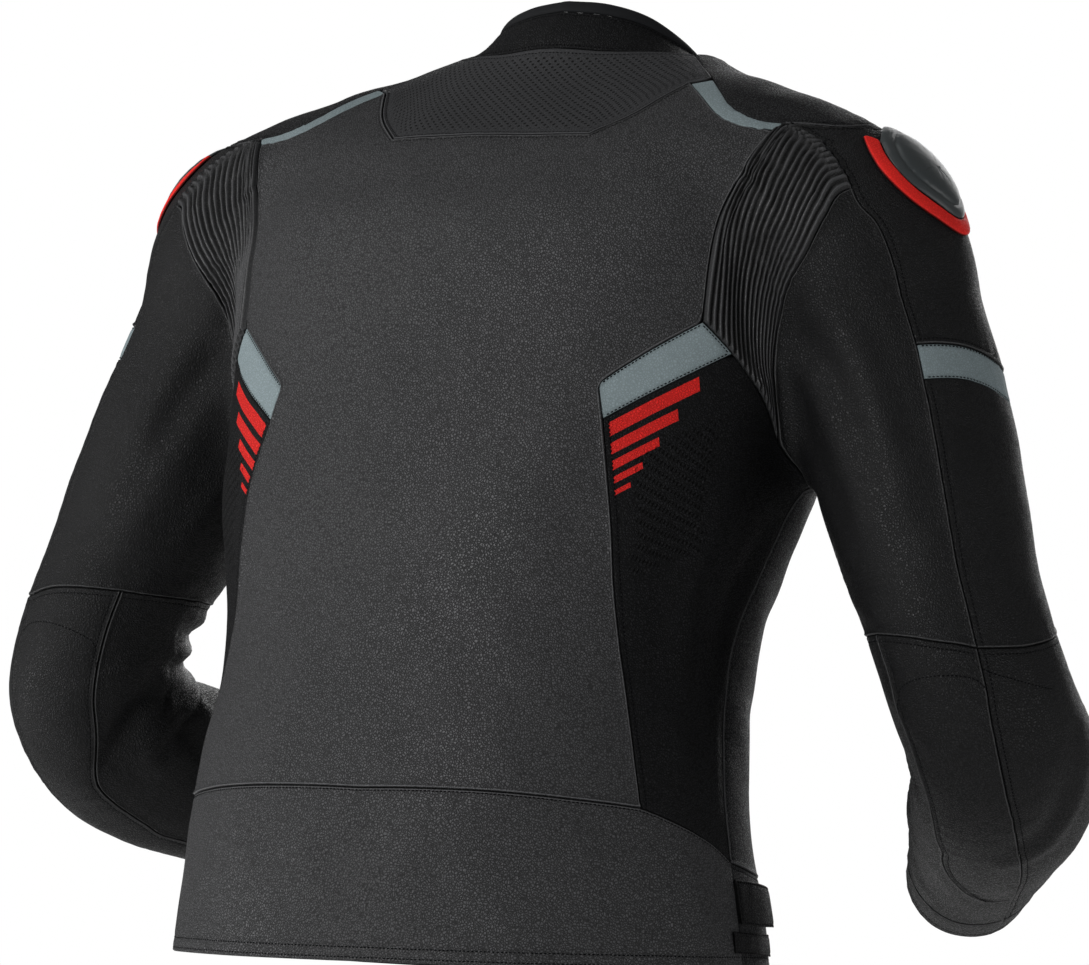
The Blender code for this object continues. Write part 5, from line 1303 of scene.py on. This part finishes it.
def sleeve(side, pull, mirror):
    """All the pieces of a sleeve, its seams drawn up the arm by that pull."""
    top_b = nearest_run(long_line, BAND_TOP[0], pull)
    top_f = nearest_run(front_line, BAND_TOP[-1], pull)
    elbow_b = nearest_run(long_line, ELBOW_OUTER[0], pull)
    elbow_f = nearest_run(front_line, ELBOW_OUTER[-1], pull)
    pocket_b = nearest_run(long_line, POCKET_END[-1], pull / 2)
    low_b, low_f = top_b + BAND_WIDTH, top_f + BAND_WIDTH
    back_a, back_b, back_c, back_d, back_e = cuts(
        long_line, (0.0, top_b, low_b, elbow_b, pocket_b, long_line[1][-1]), (5, 2, 6, 8, 3))
    front_a, front_b, front_c, front_d = cuts(
        front_line, (0.0, top_f, low_f, elbow_f, front_line[1][-1]), (5, 2, 6, 11))
    band_top = cross_seam(BAND_TOP, pull, back_a[-1, :3], front_a[-1, :3], 7)
    low_rows = [(s + BAND_WIDTH, w) for s, w in BAND_TOP]
    band_low = cross_seam(low_rows, pull, back_b[-1, :3], front_b[-1, :3], 7)
    elbow_out = cross_seam(ELBOW_OUTER, pull, back_c[-1, :3], front_c[-1, :3], 7)
    inner = settle(arm_point(ELBOW_BACK[-1], pull))[0]
    elbow_back = cross_seam(ELBOW_BACK, pull, back_c[-1, :3], inner, 5)
    elbow_in = cross_seam(ELBOW_INNER, pull, inner, front_c[-1, :3], 10)
    turn = settle(arm_point(POCKET[-1], pull / 2))[0]
    pocket = cross_seam(POCKET, pull * 0.75, inner, turn, 8)
    pocket_end = cross_seam(POCKET_END, pull / 2, turn, back_d[-1, :3], 5)
    cuff_out = cross_seam(CUFF_SEAM_OUTER, 0.0, back_e[-1, :3], front_line[0][-1], 7)
    cuff_in = cross_seam(CUFF_SEAM_INNER, 0.0, back_e[-1, :3], front_line[0][-1], 10)
    folds = []
    for *spots, width, height in SLEEVE_FOLDS[side]:
        spots = [(spots[k] / MM, spots[k + 1]) for k in (0, 2, 4)]
        folds.append((settle(arm_spots(spots, 24)), width / MM, height / MM))
    folds += ARM_HOLLOW[side]
    for k, (s, width, height) in enumerate(BEND_FOLDS):
        start, end = -205 + 9 * (k % 3), -72 - 13 * (k % 2)
        at = s - pull / 2
        line = arm_spots([(at, start), (at + BEND_BOW, (start + end) / 2), (at, end)], 24)
        folds.append((settle(line), width, height))

    def piece(name, net, finish=shaded_sleeve_leather, **more):
        cloth(name + "_" + side, net, finish, mirror, step=0.0036, folds=folds, gathers=0.0003, **more)

    piece("sleeve_head", patch(armhole_top, band_top, join(ribs_top, back_a), recount(front_a, 10)),
          edges={"left": (0.0, NEAR), "top": (0.0006, NEAR), "bottom": (0.0009, NEAR)})
    piece("sleeve_band", patch(band_top, band_low, back_b, front_b), grey_leather, slot="grey_leather",
          edges={"top": (0.0, (3,)), "bottom": (0.0, (3,))})
    piece("sleeve_outer", patch(band_low, elbow_out, back_c, front_c),
          edges={"left": (0.0, NEAR), "bottom": (0.0006, ())})
    under_arm = join(ribs_outer, flip(armhole_under), flip(armhole_low))
    piece("sleeve_under", patch(under_arm, join(elbow_back, elbow_in),
                                join(back_a, back_b, back_c), join(front_a, front_b, front_c)),
          edges={"left": (0.0009, ()), "bottom": (0.0007, ()), "top": (0.0008, ())})
    piece("elbow_panel", patch(elbow_back, flip(pocket_end), back_d, pocket),
          edges={"top": (0.0, NEAR), "right": (0.0006, NEAR), "left": (0.0009, ())},
          rows=[[(0.0, 0.13), (0.35, 0.11), (0.70, 0.15), (1.0, 0.24)]])
    piece("forearm_outer", patch(elbow_out, cuff_out, join(back_d, back_e), front_d),
          edges={"left": (0.0, NEAR), "top": (0.0, NEAR)},
          rows=[[(0.0, 0.075), (0.22, 0.085), (0.45, 0.12)]])
    piece("forearm_under",
          patch(elbow_in, cuff_in, join(pocket, pocket_end, back_e), recount(front_d, 16)),
          edges={"left": (0.0006, ()), "top": (0.0, NEAR)})
    ring = join(cuff_out, flip(cuff_in))
    way = np.array([np.interp(SLEEVE_CUFF_SEAM, ARM_LENGTH, ARM_WAY[:, k]) for k in range(3)])
    spots = []
    for part in np.linspace(0, 1, CUFF_RINGS):
        points = settle(ring[:, :3] + way * (SLEEVE_END - SLEEVE_CUFF_SEAM) * part)
        spots.append(np.hstack([points, outward(points)]))
    piece("cuff", np.array(spots), tube=True, edges={"top": (0.0006, NEAR), "bottom": (0.0, (4, 7))})


sleeve("right", 0.0, True)
sleeve("left", LEFT_SLEEVE_PULL, False)

# ---- Shoulder cups ---------------------------------------------------------
# A moulded plastic cup guards each shoulder, framed by a padded red leather
# band that is open along the top of the shoulder.
CUP_BORDER = [(0.2550, 0.1018, -0.0707), (0.2638, 0.1146, -0.0831), (0.2744, 0.1169, -0.0945),
              (0.2873, 0.1164, -0.1103), (0.2993, 0.1044, -0.1211), (0.3071, 0.0870, -0.1297),
              (0.3110, 0.0660, -0.1450), (0.3050, 0.0440, -0.1380), (0.2960, 0.0290, -0.1260),
              (0.2830, 0.0180, -0.1120), (0.2700, 0.0160, -0.0960), (0.2580, 0.0260, -0.0800)]
CUP_MIDDLE = (0.2840, 0.0680, -0.0980)
CUP_TOP = (0.2500, 0.0640, -0.0690)
CUP_BORDER_WIDTH, CUP_BORDER_THICK, CUP_BORDER_RISE = 0.0110, 0.0016, 0.0012
CUP_RISE, CUP_WALL, CUP_LIFT = 0.0045, 0.0018, 0.0009
SEAM_GAP = 0.0003
CUP_DARK, CUP_LIGHT = (0.030, 0.036, 0.038, 1.0), (0.050, 0.058, 0.060, 1.0)
# the cup's profile from its rim to its middle: share of the way out, share of the rise
CUP_PROFILE = [(1.00, 0.00), (0.985, 0.14), (0.955, 0.30), (0.90, 0.42), (0.84, 0.46), (0.80, 0.44),
               (0.775, 0.36), (0.755, 0.38), (0.735, 0.52), (0.71, 0.66), (0.66, 0.78), (0.55, 0.88),
               (0.40, 0.96), (0.22, 1.00), (0.08, 1.02), (0.0, 1.03)]
red_leather = leather("red_leather", (0.84, 0.024, 0.018), 0.42, 0.25)
border_out = settle(along(settle(smooth_rows(CUP_BORDER, 200)), 22))
for _ in range(6):
    border_out[1:-1] = settle(0.5 * border_out[1:-1] + 0.25 * (border_out[:-2] + border_out[2:]))
middle = settle(np.array([CUP_MIDDLE]))[0]
inwards = unit(middle - border_out)
border_in = settle(border_out + inwards * CUP_BORDER_WIDTH)
border = settle(np.array([border_out, (border_out + border_in) / 2, border_in]).reshape(-1, 3))
border = np.hstack([border, outward(border)]).reshape(3, -1, 6)


def padding(u, v, inmost):
    """The band is stuffed: fullest along its middle."""
    return CUP_BORDER_RISE * np.sqrt(np.clip(1 - (2 * v - 1)**2, 0, 1)), 0 * v


cup_side = settle(border_out + inwards * (CUP_BORDER_WIDTH + SEAM_GAP))
cup_head = settle(smooth_rows([cup_side[-1], CUP_TOP, cup_side[0]], 60))
cup_edge = np.vstack([cup_side, settle(along(cup_head, 7))[1:]])
cup_edge = curve_points(cup_edge[None], np.linspace(0, len(cup_edge) - 1, 120)[None])[0]

moulded, tree = fresh_material("cup_plastic")
place = node(tree, "TexCoord").outputs["Object"]
speck = node(tree, "TexNoise", {"Vector": place, "Scale": 2200.0, "Detail": 2.0}).outputs[0]
cloud = node(tree, "TexNoise", {"Vector": place, "Scale": 30.0, "Detail": 4.0}).outputs[0]
tint = share(tree, cloud, CUP_DARK, CUP_LIGHT)
bump = node(tree, "Bump", {"Strength": 0.25, "Distance": 0.0002, "Height": speck}).outputs[0]
finish_with(moulded, {"Base Color": tint, "Roughness": 0.42, "Normal": bump})
for side, mirror in BOTH:
    cloth("cup_border_" + side, finer(border), red_leather, mirror, 0.0026, lift=LIFT + CUP_BORDER_THICK,
          thick=CUP_BORDER_THICK, raised=padding, slot="red_leather",
          rests_on=["sleeve_head_%s_cloth" % side], roll=0.9)
    rings = []
    for part, rise in CUP_PROFILE:
        points = settle(middle + (cup_edge - middle) * part, 3)
        out = outward(points)
        rings.append(np.hstack([points + out * (CUP_LIFT + CUP_WALL + CUP_RISE * rise), out]))
    rings = np.array(rings)
    rings[-1, :, :3] = rings[-1, 0, :3]
    rings = mirrored(rings) if mirror else rings
    cup = lay_grid("shoulder_cup_%s_shell" % side, rings, (moulded,), weld=True)
    wall = cup.modifiers.new("wall", "SOLIDIFY")
    wall.thickness, wall.offset = CUP_WALL, -1.0
    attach(cup, "jacket")
    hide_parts("shoulder_cup_" + side)

# ---- Front zip -------------------------------------------------------------
# A closed two-row metal zip on woven tape, with its slider near the top.
TOOTH = (0.0030, 0.0016, 0.0013)
TOOTH_PITCH = 0.0026
TOOTH_ROUND = 0.12
TEETH_MEET, TEETH_SUNK = 0.0007, 0.0012     # out from the middle, and below the leather
METAL_DARK, METAL_LIGHT = (0.16, 0.16, 0.17, 1.0), (0.34, 0.34, 0.35, 1.0)
steel, tree = fresh_material("zip_metal")
place = node(tree, "TexCoord").outputs["Object"]
scratch = node(tree, "TexNoise", {"Vector": place, "Scale": 700.0, "Detail": 4.0}).outputs[0]
tint = share(tree, scratch, METAL_DARK, METAL_LIGHT)
bump = node(tree, "Bump", {"Strength": 0.2, "Distance": 0.0002, "Height": scratch}).outputs[0]
finish_with(steel, {"Base Color": tint, "Roughness": 0.34, "Metallic": 1.0, "Normal": bump})
zip_tape = woven("zip_tape", (0.016, 0.016, 0.018), 620.0)
for name in ("zip_slider", "pull_tab"):
    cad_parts[name].data.materials.clear()
    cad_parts[name].data.materials.append(steel)
for side in ("left", "right"):
    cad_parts["zip_tape_" + side].data.materials.clear()
    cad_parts["zip_tape_" + side].data.materials.append(zip_tape)

line = np.vstack([whole[::-1, -1], front_middle[1:], band_edge[1:]])
line = along(line, round(float(lengths(line[None])[0, -1]) / TOOTH_PITCH))
way = unit(np.gradient(line[:, :3], axis=0))
out = unit(line[:, 3:])
aside = unit(np.cross(way, out))
aside *= np.sign(aside[:, :1])
for side, sign in (("left", 1.0), ("right", -1.0)):
    single = bmesh.new()
    bmesh.ops.create_cube(single, size=1.0)
    bmesh.ops.bevel(single, geom=single.edges[:], offset=TOOTH_ROUND, segments=1, profile=0.5,
                    affect="EDGES", material=-1)
    shape = np.array([v.co[:] for v in single.verts]) * np.array(TOOTH)
    faces = [[v.index for v in f.verts] for f in single.faces]
    single.free()
    half = 0.5 if side == "left" else 0.0
    centre = (line[:-1, :3] + way[:-1] * TOOTH_PITCH * half + aside[:-1] * (TEETH_MEET - FRONT_EDGE)
              - out[:-1] * TEETH_SUNK)
    axes = np.stack([aside[:-1], out[:-1], way[:-1]], axis=1)
    verts = centre[:, None] + np.einsum("vk,nkd->nvd", shape, axes)
    verts = verts * np.array([sign, 1, 1])
    mesh = bpy.data.meshes.new("zip_teeth_" + side)
    order = slice(None) if sign > 0 else slice(None, None, -1)
    mesh.from_pydata(verts.reshape(-1, 3).tolist(), [],
                     [[v + k * len(shape) for v in f][order] for k in range(len(verts)) for f in faces])
    mesh.materials.append(steel)
    teeth = bpy.data.objects.new("zip_teeth_" + side, mesh)
    scene.collection.objects.link(teeth)
    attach(teeth, "jacket")
